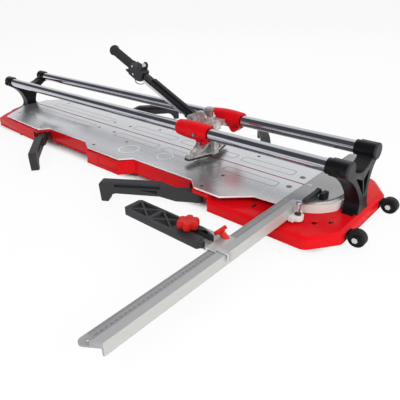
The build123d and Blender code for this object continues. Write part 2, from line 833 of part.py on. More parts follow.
with BuildPart() as scoring_wheel:
    with BuildSketch(Plane.YZ.offset(head_centre_x)):
        wheel_bore = 2.5 + running_clearance
        with BuildLine():
            Polyline(
                (-2.4, scorer_z + wheel_bore), (-2.4, scorer_z + 5), (-1.2, scorer_z + 6),
                (-1.2, scorer_z + scorer_r - 1.5), (0, scorer_z + scorer_r),
                (1.2, scorer_z + scorer_r - 1.5), (1.2, scorer_z + 6), (2.4, scorer_z + 5),
                (2.4, scorer_z + wheel_bore), (-2.4, scorer_z + wheel_bore),
            )
        make_face()
    revolve(axis=Axis((head_centre_x, 0, scorer_z), (0, 1, 0)))
save(scoring_wheel.part, "scoring_wheel")

# Lever, drawn along its own length from the pin and seen from the side
lever_plane = Plane(
    origin=(lever_x, 0, lever_z),
    x_dir=(-cos(radians(lever_rise)), 0, sin(radians(lever_rise))),
    z_dir=(0, 1, 0),
)
hub_half = ear_gap - 0.5
tube_half = lever_tube_side / 2
tube_start = 22.0
tube_end = lever_end - 14
sleeve_start = 6.0
sleeve_end = 196.0
sleeve_w = 23.0
sleeve_h = 24.5
sleeve_lift = 2.5
rod_drop = -15.0
rod_start = 33.0
sleeve_root = Plane(
    origin=lever_plane.from_local_coords((sleeve_start, sleeve_lift, 0)),
    x_dir=lever_plane.z_dir,
    z_dir=lever_plane.x_dir,
)
# Hub on the pin, the thick sleeve round the lower half of the tube, and a lug for the pull rod
with BuildPart() as lever_hub:
    with BuildSketch(lever_plane):
        Circle(14)
        Rectangle(26, 22, align=(Align.MIN, Align.CENTER))
    extrude(amount=hub_half, both=True)
    with BuildSketch(sleeve_root):
        RectangleRounded(sleeve_w, sleeve_h, 7)
    extrude(amount=sleeve_end - sleeve_start)
    with BuildSketch(lever_plane):
        with Locations((rod_start, rod_drop + 2)):
            Rectangle(24, 10, align=(Align.MAX, Align.CENTER))
    extrude(amount=6, both=True)
    with BuildSketch(lever_plane):
        Circle(lever_pin_d / 2 + running_clearance)
    extrude(amount=hub_half, both=True, mode=Mode.SUBTRACT)
    with BuildSketch(lever_plane):
        with Locations((tube_start, 0)):
            Rectangle(sleeve_end, lever_tube_side, align=(Align.MIN, Align.CENTER))
    extrude(amount=tube_half, both=True, mode=Mode.SUBTRACT)
save(lever_hub.part, "lever_hub")

with BuildPart() as lever_tube:
    with BuildSketch(lever_plane):
        with Locations(((tube_start + tube_end) / 2, 0)):
            Rectangle(tube_end - tube_start, lever_tube_side)
    extrude(amount=tube_half, both=True)
    with BuildSketch(lever_plane):
        with Locations(((tube_start + tube_end) / 2, 0)):
            Rectangle(tube_end - tube_start, lever_tube_side - 4)
    extrude(amount=tube_half - 2, both=True, mode=Mode.SUBTRACT)
save(lever_tube.part, "lever_tube")

# Flat pull rod below the sleeve, from the hub to the clamp block
with BuildPart() as pull_rod:
    with BuildSketch(lever_plane):
        with Locations(((rod_start + block_start) / 2, rod_drop)):
            Rectangle(block_start - rod_start, 5)
    extrude(amount=4.5, both=True)
save(pull_rod.part, "pull_rod")

# Clamp block with two ears for the roller
block_end = grip_start - 2
roller_at = (258.0, 26.0)
block_half = 16.0
ear_inner = 10.0
trigger_pivot = (block_end - 8, -21.5)
trigger_pin_r = 2.0
trigger_half = 6.0
with BuildPart() as clamp_block:
    with BuildSketch(lever_plane):
        with BuildLine():
            Polyline(
                (block_start, -19), (block_start, 12), (block_start + 6, 15), (block_end, 15),
                (block_end, -26), (block_start + 16, -26), (block_start, -19),
            )
        make_face()
    extrude(amount=block_half, both=True)
    with BuildSketch(lever_plane):
        with Locations(roller_at):
            Circle(10)
        with Locations((roller_at[0], 18)):
            Rectangle(20, 16)
    extrude(amount=block_half - 1, both=True)
    with BuildSketch(lever_plane):
        with Locations((roller_at[0], 27)):
            Rectangle(30, 24)
    extrude(amount=ear_inner, both=True, mode=Mode.SUBTRACT)
    with BuildSketch(lever_plane):
        with Locations(((block_start + block_end) / 2, 0)):
            Rectangle(block_end - block_start, lever_tube_side)
    extrude(amount=tube_half, both=True, mode=Mode.SUBTRACT)
    # Slot in the underside for the trigger, crossed by its pin
    with BuildSketch(lever_plane):
        with Locations(trigger_pivot):
            Rectangle(24, 18)
    extrude(amount=trigger_half + 0.6, both=True, mode=Mode.SUBTRACT)
    with BuildSketch(lever_plane):
        with Locations(trigger_pivot):
            Circle(trigger_pin_r)
    extrude(amount=block_half, both=True)
save(clamp_block.part, "clamp_block")

with BuildPart() as clamp_roller:
    with BuildSketch(lever_plane):
        with Locations(roller_at):
            Circle(7)
    extrude(amount=ear_inner, both=True)
save(clamp_roller.part, "clamp_roller")

with BuildPart() as clamp_rivets:
    for side in (-1, 1):
        with BuildSketch(lever_plane.offset(side * block_half)):
            with Locations((block_end - 10, 9), (block_end - 22, -14)):
                Circle(3.5)
        extrude(amount=side * 1.6)
save(clamp_rivets.part, "clamp_rivets")

# Grip: a turned rubber sleeve with a collar and a rounded end flange
with BuildPart() as lever_grip:
    with BuildSketch(lever_plane):
        with BuildLine():
            Polyline(
                (grip_start, 0), (grip_start, 17), (grip_start + 5, 17), (grip_start + 8, grip_r),
                (lever_end - 22, grip_r), (lever_end - 16, 18),
            )
            ThreePointArc((lever_end - 16, 18), (lever_end - 4, 14), (lever_end, 5))
            Polyline((lever_end, 5), (lever_end, 0), (grip_start, 0))
        make_face()
    revolve(axis=Axis(lever_plane.origin, lever_plane.x_dir))
    with BuildSketch(lever_plane):
        with Locations(((grip_start + tube_end) / 2, 0)):
            Rectangle(tube_end - grip_start, lever_tube_side)
    extrude(amount=tube_half, both=True, mode=Mode.SUBTRACT)
save(lever_grip.part, "lever_grip")

# Trigger in the slot under the clamp block
with BuildPart() as trigger:
    with BuildSketch(lever_plane):
        with BuildLine():
            Polyline(
                (trigger_pivot[0] - 5, -27), (trigger_pivot[0] + 22, -31), (trigger_pivot[0] + 34, -29),
                (trigger_pivot[0] + 34, -26), (trigger_pivot[0] + 12, -24), (trigger_pivot[0] + 5, -17),
                (trigger_pivot[0] - 5, -17), (trigger_pivot[0] - 5, -27),
            )
        make_face()
        with Locations(trigger_pivot):
            Circle(trigger_pin_r + running_clearance, mode=Mode.SUBTRACT)
    extrude(amount=trigger_half, both=True)
save(trigger.part, "trigger")

# Swivel: fixed half-round base with a clamp groove, and the pin that the ruler turns on
swivel_top = table_z - 0.6
rim_groove = (91.5, 99.0)
clamp_groove = (74.0, 86.0)
with BuildPart() as swivel_base:
    with BuildSketch(Plane.XY.offset(platform_z)):
        with Locations((swivel_x, 0)):
            Circle(swivel_base_r)
        with Locations((ruler_rear + 3, 0)):
            base_depth = neck_x[0] - 7 - ruler_rear - 3
            Rectangle(base_depth, 400, align=(Align.MIN, Align.CENTER), mode=Mode.INTERSECT)
    extrude(amount=swivel_top - platform_z)
    for (inner_r, outer_r), depth in ((rim_groove, 6), (clamp_groove, 14)):
        with BuildSketch(Plane.XY.offset(swivel_top)):
            with Locations((swivel_x, 0)):
                Circle(outer_r)
                Circle(inner_r, mode=Mode.SUBTRACT)
            with Locations((swivel_x + 36, 0)):
                Rectangle(100, 400, align=(Align.MIN, Align.CENTER), mode=Mode.INTERSECT)
        extrude(amount=-depth, mode=Mode.SUBTRACT)
    with Locations((swivel_x, 0, swivel_top)):
        Cylinder(swivel_pin_d / 2, ruler_top - 0.3 - swivel_top, align=rising)
save(swivel_base.part, "swivel_base")

with BuildPart() as swivel_plate:
    with BuildSketch(Plane.XY.offset(ruler_bottom)):
        with Locations((swivel_x, 0)):
            Circle(swivel_r)
        with BuildLine():
            Polyline(
                (ruler_front, ruler_start), (724, -65), (ruler_front, -50), (ruler_front, ruler_start)
            )
        make_face()
        with Locations((ruler_rear, 0)):
            Rectangle(300, 400, align=(Align.MIN, Align.CENTER), mode=Mode.INTERSECT)
        with Locations(((ruler_rear + ruler_front) / 2, (ruler_start + far_start) / 2)):
            Rectangle(ruler_front - ruler_rear, far_start - ruler_start)
        with Locations((swivel_x, 0)):
            Circle(swivel_pin_d / 2 + running_clearance, mode=Mode.SUBTRACT)
        with Locations(clamp_bolt):
            Circle(4.1, mode=Mode.SUBTRACT)
    extrude(amount=ruler_top - ruler_bottom)
save(swivel_plate.part, "swivel_plate")

# Ruler bar: scale strip, raised ridge and front skirt in one extrusion
with BuildPart() as ruler_bar:
    with BuildSketch(across(ruler_start)):
        with BuildLine():
            Polyline(
                (ruler_rear, ruler_bottom), (ruler_rear, ruler_top), (ruler_ridge, ruler_top),
                (ruler_ridge, ridge_top), (ruler_front, ridge_top), (ruler_front, ruler_skirt),
                (ruler_front - 3.5, ruler_skirt), (ruler_front - 3.5, ruler_bottom),
                (ruler_rear, ruler_bottom),
            )
        make_face()
    extrude(amount=ruler_start - ruler_end)
    # The near end is cut aslant, with a rounded corner on the strip
    with BuildSketch(Plane.XY.offset(ruler_skirt)):
        with BuildLine():
            Polyline(
                (ruler_rear, ruler_start), (ruler_front, ruler_start),
                (ruler_front, ruler_end + ruler_end_skew), (ruler_rear, ruler_end),
                (ruler_rear, ruler_start),
            )
        make_face()
    extrude(amount=ridge_top - ruler_skirt, mode=Mode.INTERSECT)
    fillet(ruler_bar.edges().filter_by(Axis.Z).sort_by(Axis.Y)[0], radius=10)
    with BuildSketch(Plane.XY.offset(ruler_bottom)):
        with Locations((ruler_rear + 13, ruler_end + 23)):
            Circle(3)
    extrude(amount=10, mode=Mode.SUBTRACT)
save(ruler_bar.part, "ruler_bar")

with BuildPart() as ruler_far:
    with BuildSketch(Plane.XY.offset(ruler_bottom)):
        with Locations((ruler_rear, far_end)):
            Rectangle(ruler_front - ruler_rear, far_end - far_start, align=(Align.MIN, Align.MAX))
    extrude(amount=ruler_top - ruler_bottom)
    far_corners = ruler_far.edges().filter_by(Axis.Z).sort_by(Axis.Y)[-2:]
    fillet(far_corners, radius=10)
save(ruler_far.part, "ruler_far")

# Index boss on the front of the ruler, and the plunger that drops into the base holes
index_boss_z = (50.0, 63.0)
with BuildPart() as index_boss:
    with BuildSketch(Plane.XY.offset(index_boss_z[0])):
        with Locations((index_x, index_y)):
            Circle(14)
        with Locations((ruler_front, index_y)):
            Rectangle(14, 44, align=(Align.MIN, Align.CENTER))
        with Locations((ruler_front, index_y)):
            Rectangle(60, 60, align=(Align.MIN, Align.CENTER), mode=Mode.INTERSECT)
        with Locations((index_x, index_y)):
            Circle(4 + running_clearance, mode=Mode.SUBTRACT)
    extrude(amount=index_boss_z[1] - index_boss_z[0])
save(index_boss.part, "index_boss")

plunger_tip = 50.5
with BuildPart() as index_plunger:
    with Locations((index_x, index_y, plunger_tip)):
        Cylinder(3, 8, align=rising)
    with Locations((index_x, index_y, plunger_tip + 6)):
        Cylinder(4, 34, align=rising)
    with Locations((index_x, index_y, 88)):
        Cylinder(7, 11, align=rising)
    knob_rims = index_plunger.edges().filter_by(GeomType.CIRCLE).filter_by(lambda rim: rim.radius > 6)
    chamfer(knob_rims, length=1.5)
save(index_plunger.part, "index_plunger")

# Clamp: a block on the swivel plate whose bolt rides in the base's groove, and a cam lever
clamp_pin = (706.0, -40.0, 83.0)
clamp_pin_r = 3.0
clamp_half_w = 5.0
clamp_block_x = (718.5, 732.0)
clamp_reach = 73.0
with BuildPart() as clamp_post:
    with BuildSketch(Plane.XY.offset(ruler_top)):
        with Locations(((clamp_block_x[0] + clamp_block_x[1]) / 2, clamp_bolt[1])):
            RectangleRounded(clamp_block_x[1] - clamp_block_x[0], 28, 2)
    extrude(amount=17)
    chamfer(clamp_post.faces().sort_by(Axis.Z)[-1].edges(), length=2)
    with BuildSketch(Plane.YZ.offset(clamp_block_x[0] + 4)):
        with Locations((clamp_pin[1], clamp_pin[2])):
            Circle(clamp_pin_r)
    extrude(amount=clamp_pin[0] - clamp_half_w - clamp_block_x[0] - 6)
    with Locations((*clamp_bolt, ruler_top)):
        Cylinder(4, 16, align=hanging)
save(clamp_post.part, "clamp_post")

with BuildPart() as clamp_lever:
    with BuildSketch(Plane.YZ.offset(clamp_pin[0] - clamp_half_w)):
        with Locations((clamp_pin[1], clamp_pin[2])):
            Circle(8)
        with Locations((clamp_pin[1] - clamp_reach / 2 + 2.75, clamp_pin[2])):
            SlotOverall(clamp_reach + 5.5, 11)
        with Locations((clamp_pin[1], clamp_pin[2])):
            Circle(clamp_pin_r + running_clearance, mode=Mode.SUBTRACT)
    extrude(amount=2 * clamp_half_w)
save(clamp_lever.part, "clamp_lever")

# Side stop: a stepped bracket that hooks over the ruler, a ribbed fence and two knobs
bracket_y = (-400.0, -334.0)
bracket_rear = 556.0
gauge = 3.0
bracket_z = fence_z[0] - gauge
step_x = 643.0
strip_z = ruler_top + 0.5
hook_w = 9.0
hook_x = (669.0, 702.0)
hook_z = ridge_top + 0.5
side_boss_r = 7.5
side_boss_length = 12.0
side_axis = Plane(origin=side_knob_root, x_dir=(0, 1, 0), z_dir=(-1, 0, 1))
with BuildPart() as stop_bracket:
    # Sheet that steps from under the fence up onto the scale strip
    with BuildSketch(across(bracket_y[1])):
        with BuildLine():
            Polyline(
                (bracket_rear, bracket_z), (step_x + gauge, bracket_z), (step_x + gauge, strip_z),
                (hook_x[0] + 5, strip_z), (hook_x[0] + 5, strip_z + gauge), (step_x, strip_z + gauge),
                (step_x, fence_z[0]), (bracket_rear, fence_z[0]), (bracket_rear, bracket_z),
            )
        make_face()
    extrude(amount=bracket_y[1] - bracket_y[0])
    # Slanted boss that the side knob screws into
    with BuildSketch(side_axis):
        Circle(side_boss_r)
    extrude(amount=side_boss_length)
    with BuildSketch(side_axis):
        Circle(side_boss_r)
    extrude(amount=-side_boss_length)
    with Locations((step_x + gauge, side_knob_root[1], strip_z)):
        Box(40, 40, 30, align=(Align.MIN, Align.CENTER, Align.MAX), mode=Mode.SUBTRACT)
    with BuildSketch(side_axis.offset(-2)):
        Circle(side_stem_r + running_clearance)
    extrude(amount=side_boss_length + 2, mode=Mode.SUBTRACT)
    # Narrow hook over the ridge at the near edge
    with BuildSketch(across(bracket_y[0] + hook_w)):
        with BuildLine():
            Polyline(
                (hook_x[0], strip_z), (hook_x[0] + gauge, strip_z), (hook_x[0] + gauge, hook_z),
                (hook_x[1] - gauge, hook_z), (hook_x[1] - gauge, 66), (hook_x[1], 66),
                (hook_x[1], hook_z + gauge), (hook_x[0], hook_z + gauge), (hook_x[0], strip_z),
            )
        make_face()
    extrude(amount=hook_w)
    # Slot at the free end
    with BuildSketch(Plane.XY.offset(bracket_z)):
        with Locations((bracket_rear + 10, bracket_y[0] + 7)):
            SlotOverall(14, 5)
    extrude(amount=gauge, mode=Mode.SUBTRACT)
save(stop_bracket.part, "stop_bracket")

rib = 5.0
bay = 76.0
pocket_depth = 9.0
slot_start = 555.0
slot_w = 14.0
fork_r = 13.0
with BuildPart() as stop_fence:
    with BuildSketch(Plane.XY.offset(fence_z[0])):
        with BuildLine():
            Polyline(
                (fence_x[0] + 6, fence_y[1]), (595, fence_y[1]), (fence_x[1], fence_y[1] - 12),
                (fence_x[1], fence_y[0] + 12), (fence_x[1] - 8, fence_y[0]), (fence_x[0] + 12, fence_y[0]),
                (fence_x[0], fence_y[0] + 9), (fence_x[0], fence_y[1] - 6), (fence_x[0] + 6, fence_y[1]),
            )
        make_face()
        # Open slot for the clamp bolt, widening into a fork at the ruler end
        with Locations((slot_start, star_y)):
            Rectangle(100, slot_w, align=(Align.MIN, Align.CENTER), mode=Mode.SUBTRACT)
        with Locations((fence_x[1], star_y - 4)):
            Circle(fork_r, mode=Mode.SUBTRACT)
    extrude(amount=fence_z[1] - fence_z[0])
    # Triangular pockets that leave a truss of ribs
    with BuildSketch(Plane.XY.offset(fence_z[1])):
        for index in range(2):
            left = fence_x[0] + 2 * rib + index * bay
            right = left + bay - rib
            low = fence_y[0] + 2 * rib
            high = fence_y[1] - rib
            middle = Vector((left + right) / 2, (low + high) / 2)
            corners = [Vector(left, low), Vector(right, low), Vector(right, high), Vector(left, high)]
            for start, end in zip(corners, corners[1:] + corners[:1]):
                centre = (start + end + middle) / 3
                points = [centre + (corner - centre) * 0.8 for corner in (start, end, middle, start)]
                with BuildLine():
                    Polyline(*points)
                make_face()
    extrude(amount=-pocket_depth, mode=Mode.SUBTRACT)
save(stop_fence.part, "stop_fence")


def lobed_knob(seat, radius, lobes, lobe_r, core_r, thickness, stem_r, stem_length):
    """A lobed hand knob above a seat plane, with its stem reaching back through the seat."""
    lift = 3.0
    collar = 2.6
    with BuildPart() as knob:
        with BuildSketch(seat.offset(lift)) as outline:
            Circle(core_r)
            with PolarLocations(radius - lobe_r, lobes):
                Circle(lobe_r)
            fillet(outline.vertices(), radius=1.5)
        extrude(amount=thickness)
        top_rim = knob.faces().sort_by(Axis(seat.origin, seat.z_dir))[-1].edges()
        chamfer(top_rim, length=1.5)
        with BuildSketch(seat.offset(lift)):
            Circle(radius * 0.45)
        extrude(amount=-collar)
        with BuildSketch(seat.offset(lift)):
            Circle(stem_r)
        extrude(amount=-stem_length - lift)
    return knob.part


star_seat = Plane(origin=(star_x, star_y, fence_z[1]))
save(lobed_knob(star_seat, 25.5, 6, 7.2, 15.0, 18, 4.5, fence_z[1] - fence_z[0]), "star_knob")
side_seat = side_axis.offset(side_boss_length)
save(lobed_knob(side_seat, 18.0, 2, 7.5, 9.5, 9, side_stem_r, side_boss_length - 2), "side_knob")
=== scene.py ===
# %% [markdown]
# # Dressing a manual tile cutter
# The frame holds every solid of the tool at its real size, and knows which of them move together.
# A solid out of a CAD kernel has perfect corners and no finish, so it looks like a drawing. This
# lesson never moves those solids. It rounds the edges that light would catch, gives each surface
# its finish, and adds the small pieces that are easier to say as a formula than to draw.

# %% Load the frame
import json
import math

import bmesh
import bpy
import numpy as np
from mathutils import Matrix, Vector


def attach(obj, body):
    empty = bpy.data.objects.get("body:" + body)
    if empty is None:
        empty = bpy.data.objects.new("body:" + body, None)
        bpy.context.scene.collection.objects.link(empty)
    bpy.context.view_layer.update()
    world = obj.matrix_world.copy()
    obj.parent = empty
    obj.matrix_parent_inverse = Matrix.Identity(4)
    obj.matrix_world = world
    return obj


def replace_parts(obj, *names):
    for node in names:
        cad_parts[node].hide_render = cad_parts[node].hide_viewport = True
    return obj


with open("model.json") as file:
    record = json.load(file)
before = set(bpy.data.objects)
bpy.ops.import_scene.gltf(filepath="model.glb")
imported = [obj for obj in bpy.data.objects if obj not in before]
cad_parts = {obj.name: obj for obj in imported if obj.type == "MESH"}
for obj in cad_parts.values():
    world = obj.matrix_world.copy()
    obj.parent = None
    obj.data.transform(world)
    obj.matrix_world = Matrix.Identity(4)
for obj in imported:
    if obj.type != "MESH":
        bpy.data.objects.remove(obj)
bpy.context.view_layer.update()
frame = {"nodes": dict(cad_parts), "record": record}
nodes = frame["nodes"]
record = frame["record"]
slot_of = {row["node"]: row["material_slot"] for row in record["subparts"]}
body_of = {node: body for body, members in record["behaviour"]["bodies"].items() for node in members}
MM = 0.001

# %% [markdown]
# ## The camera
# The portrait was taken from the ruler end, a little above table height, with a normal lens. A
# camera can be aimed by an empty it tracks, but then its roll is hidden. Here its three axes are
# worked out from yaw, pitch and roll, so each number is one that a photographer could name.

# %% Place the camera
camera_place = Vector((1.1213, -0.9474, 0.5717))
camera_yaw = math.radians(-42.87)
camera_pitch = math.radians(27.39)
camera_roll = math.radians(1.8)
forward = Vector((
    math.sin(camera_yaw) * math.cos(camera_pitch),
    math.cos(camera_yaw) * math.cos(camera_pitch),
    -math.sin(camera_pitch),
))
level_right = Vector((math.cos(camera_yaw), -math.sin(camera_yaw), 0))
level_down = forward.cross(level_right)
right = level_right * math.cos(camera_roll) + level_down * math.sin(camera_roll)
down = level_down * math.cos(camera_roll) - level_right * math.sin(camera_roll)

lens = bpy.data.cameras.new("portrait_camera")
lens.sensor_width = 36.0
lens.lens = 38.368
lens.shift_x = 0.01645
lens.shift_y = -0.01035
camera = bpy.data.objects.new("portrait_camera", lens)
bpy.context.scene.collection.objects.link(camera)
camera_turn = Matrix((right, -down, -forward)).transposed().to_4x4()
camera.matrix_world = Matrix.Translation(camera_place) @ camera_turn
bpy.context.scene.camera = camera
bpy.context.scene.view_settings.view_transform = "Standard"
print("camera at", tuple(camera_place), "lens", lens.lens, "mm")

# %% [markdown]
# ## A small language for shaders
# A material is a graph of nodes, and a graph written link by link hides its formula. One class
# wraps an output socket and overloads the arithmetic, so `0.3 + 0.1 * grain` adds its own Math
# nodes. Every other node comes from the single method `node`, which sets the node's settings
# first, then its sockets.


# %% Wrap a socket
class Value:
    """An output socket that can stand in an expression on plain numbers."""

    def __init__(self, tree, socket):
        self.tree = tree
        self.socket = socket

    def __add__(self, other):
        return self.tree.maths("ADD", self, other)

    def __radd__(self, other):
        return self.tree.maths("ADD", other, self)

    def __sub__(self, other):
        return self.tree.maths("SUBTRACT", self, other)

    def __rsub__(self, other):
        return self.tree.maths("SUBTRACT", other, self)

    def __mul__(self, other):
        return self.tree.maths("MULTIPLY", self, other)

    def __rmul__(self, other):
        return self.tree.maths("MULTIPLY", other, self)

    def __abs__(self):
        return self.tree.maths("ABSOLUTE", self, 0.0)


# %% Wrap a node tree
class Shader:
    """A node tree that is written as expressions."""

    def __init__(self, tree):
        self.tree = tree
        tree.nodes.clear()

    def node(self, kind, settings=None, sockets=None, output=0):
        """Add a node: its settings first, then the values or links of its sockets."""
        made = self.tree.nodes.new(kind)
        for name, value in (settings or {}).items():
            setattr(made, name, value)
        for name, value in (sockets or {}).items():
            if isinstance(value, Value):
                self.tree.links.new(value.socket, made.inputs[name])
            else:
                made.inputs[name].default_value = value
        return Value(self, made.outputs[output])

    def maths(self, operation, first, second):
        return self.node("ShaderNodeMath", {"operation": operation}, {0: first, 1: second})

    def place(self):
        """Object coordinates, in metres in the frame of the tool."""
        return self.node("ShaderNodeTexCoord", output="Object")

    def part(self, vector, axis):
        return self.node("ShaderNodeSeparateXYZ", sockets={0: vector}, output=axis)

    def vectors(self, operation, first, second=(0, 0, 0), output=0):
        sockets = {0: first, 1: second}
        return self.node("ShaderNodeVectorMath", {"operation": operation}, sockets, output)

    def stretch(self, vector, factors):
        return self.vectors("MULTIPLY", vector, factors)

    def noise(self, vector, scale, detail=2.0, rough=0.5):
        sockets = {"Vector": vector, "Scale": scale, "Detail": detail, "Roughness": rough}
        return self.node("ShaderNodeTexNoise", sockets=sockets)

    def rise(self, value, low, high):
        """A smooth step from 0 below low to 1 above high."""
        sockets = {"Value": value, "From Min": low, "From Max": high}
        return self.node("ShaderNodeMapRange", {"interpolation_type": "SMOOTHSTEP"}, sockets)

    def blend(self, factor, first, second):
        """A colour between two colours."""
        sockets = {0: factor, 6: first, 7: second}
        return self.node("ShaderNodeMix", {"data_type": "RGBA"}, sockets, output=2)

    def bump(self, height, strength, distance):
        sockets = {"Height": height, "Strength": strength, "Distance": distance}
        return self.node("ShaderNodeBump", sockets=sockets)

    def surface(self, sockets):
        """The Principled surface of a material, and its output node."""
        lit = self.node("ShaderNodeBsdfPrincipled", sockets=sockets)
        self.node_end("ShaderNodeOutputMaterial", lit)

    def node_end(self, kind, shader):
        end = self.tree.nodes.new(kind)
        self.tree.links.new(shader.socket, end.inputs["Surface"])


def new_material(name):
    material = bpy.data.materials.new(name)
    material.use_nodes = True
    return material, Shader(material.node_tree)


print("shader words:", [word for word in vars(Shader) if not word.startswith("_")])

# %% [markdown]
# ## The studio
# The tool stood on a white sweep with a broad soft light behind and above it, and a dark studio
# behind the photographer. White comes from the floor: part of its shader glows at strength 1 for
# the camera and for reflections, and the rest is plain diffuse, so the shadow stays. The sky is
# white, with one dark zone high up on the photographer's side. A rail mirrors white sky, the dark
# zone and white floor in turn: a pale line, a dark band and a bright band.

# %% Sky
world = bpy.data.worlds.new("studio")
world.use_nodes = True
bpy.context.scene.world = world
sky = Shader(world.node_tree)
direction = sky.node("ShaderNodeTexCoord", output="Generated")
height = sky.part(direction, "Z")
depth = sky.part(direction, "Y")
above_the_horizon = sky.rise(height, 0.08, 0.24)
photographers_side = 1 - sky.rise(depth, -0.10, 0.22)
white_zone = (0.92, 0.92, 0.93, 1)
dark_zone = (0.09, 0.09, 0.10, 1)
dome = sky.blend(above_the_horizon * photographers_side, white_zone, dark_zone)
seen = sky.node("ShaderNodeLightPath", output="Is Camera Ray")
backdrop = sky.blend(seen, dome, (1, 1, 1, 1))
sky.node_end("ShaderNodeOutputWorld", sky.node("ShaderNodeBackground", sockets={"Color": backdrop}))


# %% Floor
def grid_mesh(name, points, wrap_rows=False, wrap_columns=False, capped=False):
    """Quads over a grid of points, rows by columns by 3; wrapping closes the grid round that way.

    A capped grid also gets a face over its first row and one over its last.
    """
    rows, columns = points.shape[:2]
    index = np.arange(rows * columns).reshape(rows, columns)
    caps = [index[0].tolist(), index[-1].tolist()] if capped else []
    if wrap_rows:
        index = np.vstack([index, index[:1]])
    if wrap_columns:
        index = np.hstack([index, index[:, :1]])
    corners = (index[:-1, :-1], index[:-1, 1:], index[1:, 1:], index[1:, :-1])
    quads = np.stack(corners, axis=-1).reshape(-1, 4)
    mesh = bpy.data.meshes.new(name)
    mesh.from_pydata(points.reshape(-1, 3).tolist(), [], quads.tolist() + caps)
    mesh.update()
    return mesh


floor_half = 60.0
span = np.linspace(-floor_half, floor_half, 9)
floor_x, floor_y = np.meshgrid(span, span)
floor_points = np.stack([floor_x, floor_y, np.full_like(floor_x, -0.0004)], axis=-1)
floor = bpy.data.objects.new("studio_floor", grid_mesh("studio_floor", floor_points))
bpy.context.scene.collection.objects.link(floor)

floor_material, ground = new_material("white_sweep")
glow_share = 0.9
floor_place = ground.place()
# Painted shade: the glow is left out over the base's footprint, so the floor seen through the base's
# openings stays dark, like the shade under the base.
along_base = 1 - ground.rise(abs(ground.part(floor_place, "X")), 0.74, 0.80)
across_base = 1 - ground.rise(abs(ground.part(floor_place, "Y")), 0.15, 0.195)
glow_outside_base_shade = 1 - along_base * across_base
to_camera = ground.node("ShaderNodeLightPath", output="Is Camera Ray")
to_gloss = ground.node("ShaderNodeLightPath", output="Is Glossy Ray")
to_glass = ground.node("ShaderNodeLightPath", output="Is Transmission Ray")
speckle = ground.noise(floor_place, 3.0)
matt = ground.node("ShaderNodeBsdfDiffuse", sockets={
    "Color": ground.blend(speckle, (0.86, 0.86, 0.86, 1), (0.90, 0.90, 0.90, 1)),
})
glow = ground.node("ShaderNodeEmission", sockets={"Color": (1, 1, 1, 1), "Strength": 1.0})
looked_at = ground.maths("MAXIMUM", to_camera, ground.maths("MAXIMUM", to_gloss, to_glass))
mixed = ground.node("ShaderNodeMixShader", sockets={
    0: glow_share * looked_at * glow_outside_base_shade, 1: matt, 2: glow,
})
ground.node_end("ShaderNodeOutputMaterial", mixed)
floor.data.materials.append(floor_material)
print("floor:", len(floor.data.polygons), "faces,", 2 * floor_half, "m across")


# %% Soft boxes
def soft_box(name, place, aim, size, power):
    """A rectangular lamp of a size in metres, turned to face a point and left out of reflections."""
    lamp = bpy.data.lights.new(name, "AREA")
    lamp.shape = "RECTANGLE"
    lamp.size, lamp.size_y = size
    lamp.energy = power
    holder = bpy.data.objects.new(name, lamp)
    bpy.context.scene.collection.objects.link(holder)
    holder.location = place
    holder.rotation_euler = (Vector(aim) - Vector(place)).to_track_quat("-Z", "Y").to_euler()
    holder.visible_glossy = False
    return holder


table_middle = (0.1, -0.05, 0.1)
soft_box("front_box", (0.9, -2.6, 2.3), table_middle, (3.0, 1.4), 62)
soft_box("back_box", (-1.2, 2.6, 2.2), table_middle, (3.4, 0.9), 26)
soft_box("ruler_box", (3.2, -0.6, 1.6), table_middle, (1.4, 1.4), 42)
print("lamps:", [lamp.name for lamp in bpy.data.lights])

# %% [markdown]
# ## Finishes
# Each finish starts from what the maker did: baked enamel has a clear wet top and a faint orange
# peel, rolled plate has long scratches along the roll, castings and mouldings have grain. All of
# it is read from Object coordinates in metres, so a scratch is as wide on every piece.
# Some finishes paint light and shade: painted highlights on edges and beads, painted shade in creases,
# slots and the sunk bar, and a ruler side painted lighter.

# %% Enamel, plastics and rubber
finishes = {}


def painted(slot, dark, light, roughness, peel, coat):
    """Paint over metal: clouded colour, orange peel and a clear coat."""
    finishes[slot], paint = new_material(slot)
    place = paint.place()
    cloud = paint.noise(place, 7.0, 3.0)
    skin = paint.noise(place, 700.0, 1.0)
    dust = paint.rise(paint.noise(place, 160.0, 4.0, 0.7), 0.55, 0.8)
    paint.surface({
        "Base Color": paint.blend(cloud, dark, light),
        "Roughness": roughness + 0.08 * cloud + 0.10 * dust,
        "Specular IOR Level": 0.03,
        "Coat Weight": coat,
        "Coat Roughness": 0.09,
        "Normal": paint.bump(skin, peel, 0.0004),
    })


def moulded(slot, dark, light, roughness, grain, grain_scale):
    """A moulding or casting with a grained skin and scuffs that shine a little."""
    finishes[slot], skin = new_material(slot)
    place = skin.place()
    cloud = skin.noise(place, 14.0, 3.0)
    pores = skin.noise(place, grain_scale, 2.0, 0.6)
    scuff = skin.rise(skin.noise(skin.stretch(place, (60, 220, 220)), 1.0, 3.0), 0.62, 0.74)
    skin.surface({
        "Base Color": skin.blend(cloud, dark, light),
        "Roughness": roughness + 0.10 * pores - 0.08 * scuff,
        "Specular IOR Level": 0.22,
        "Normal": skin.bump(pores, grain, 0.0003),
    })


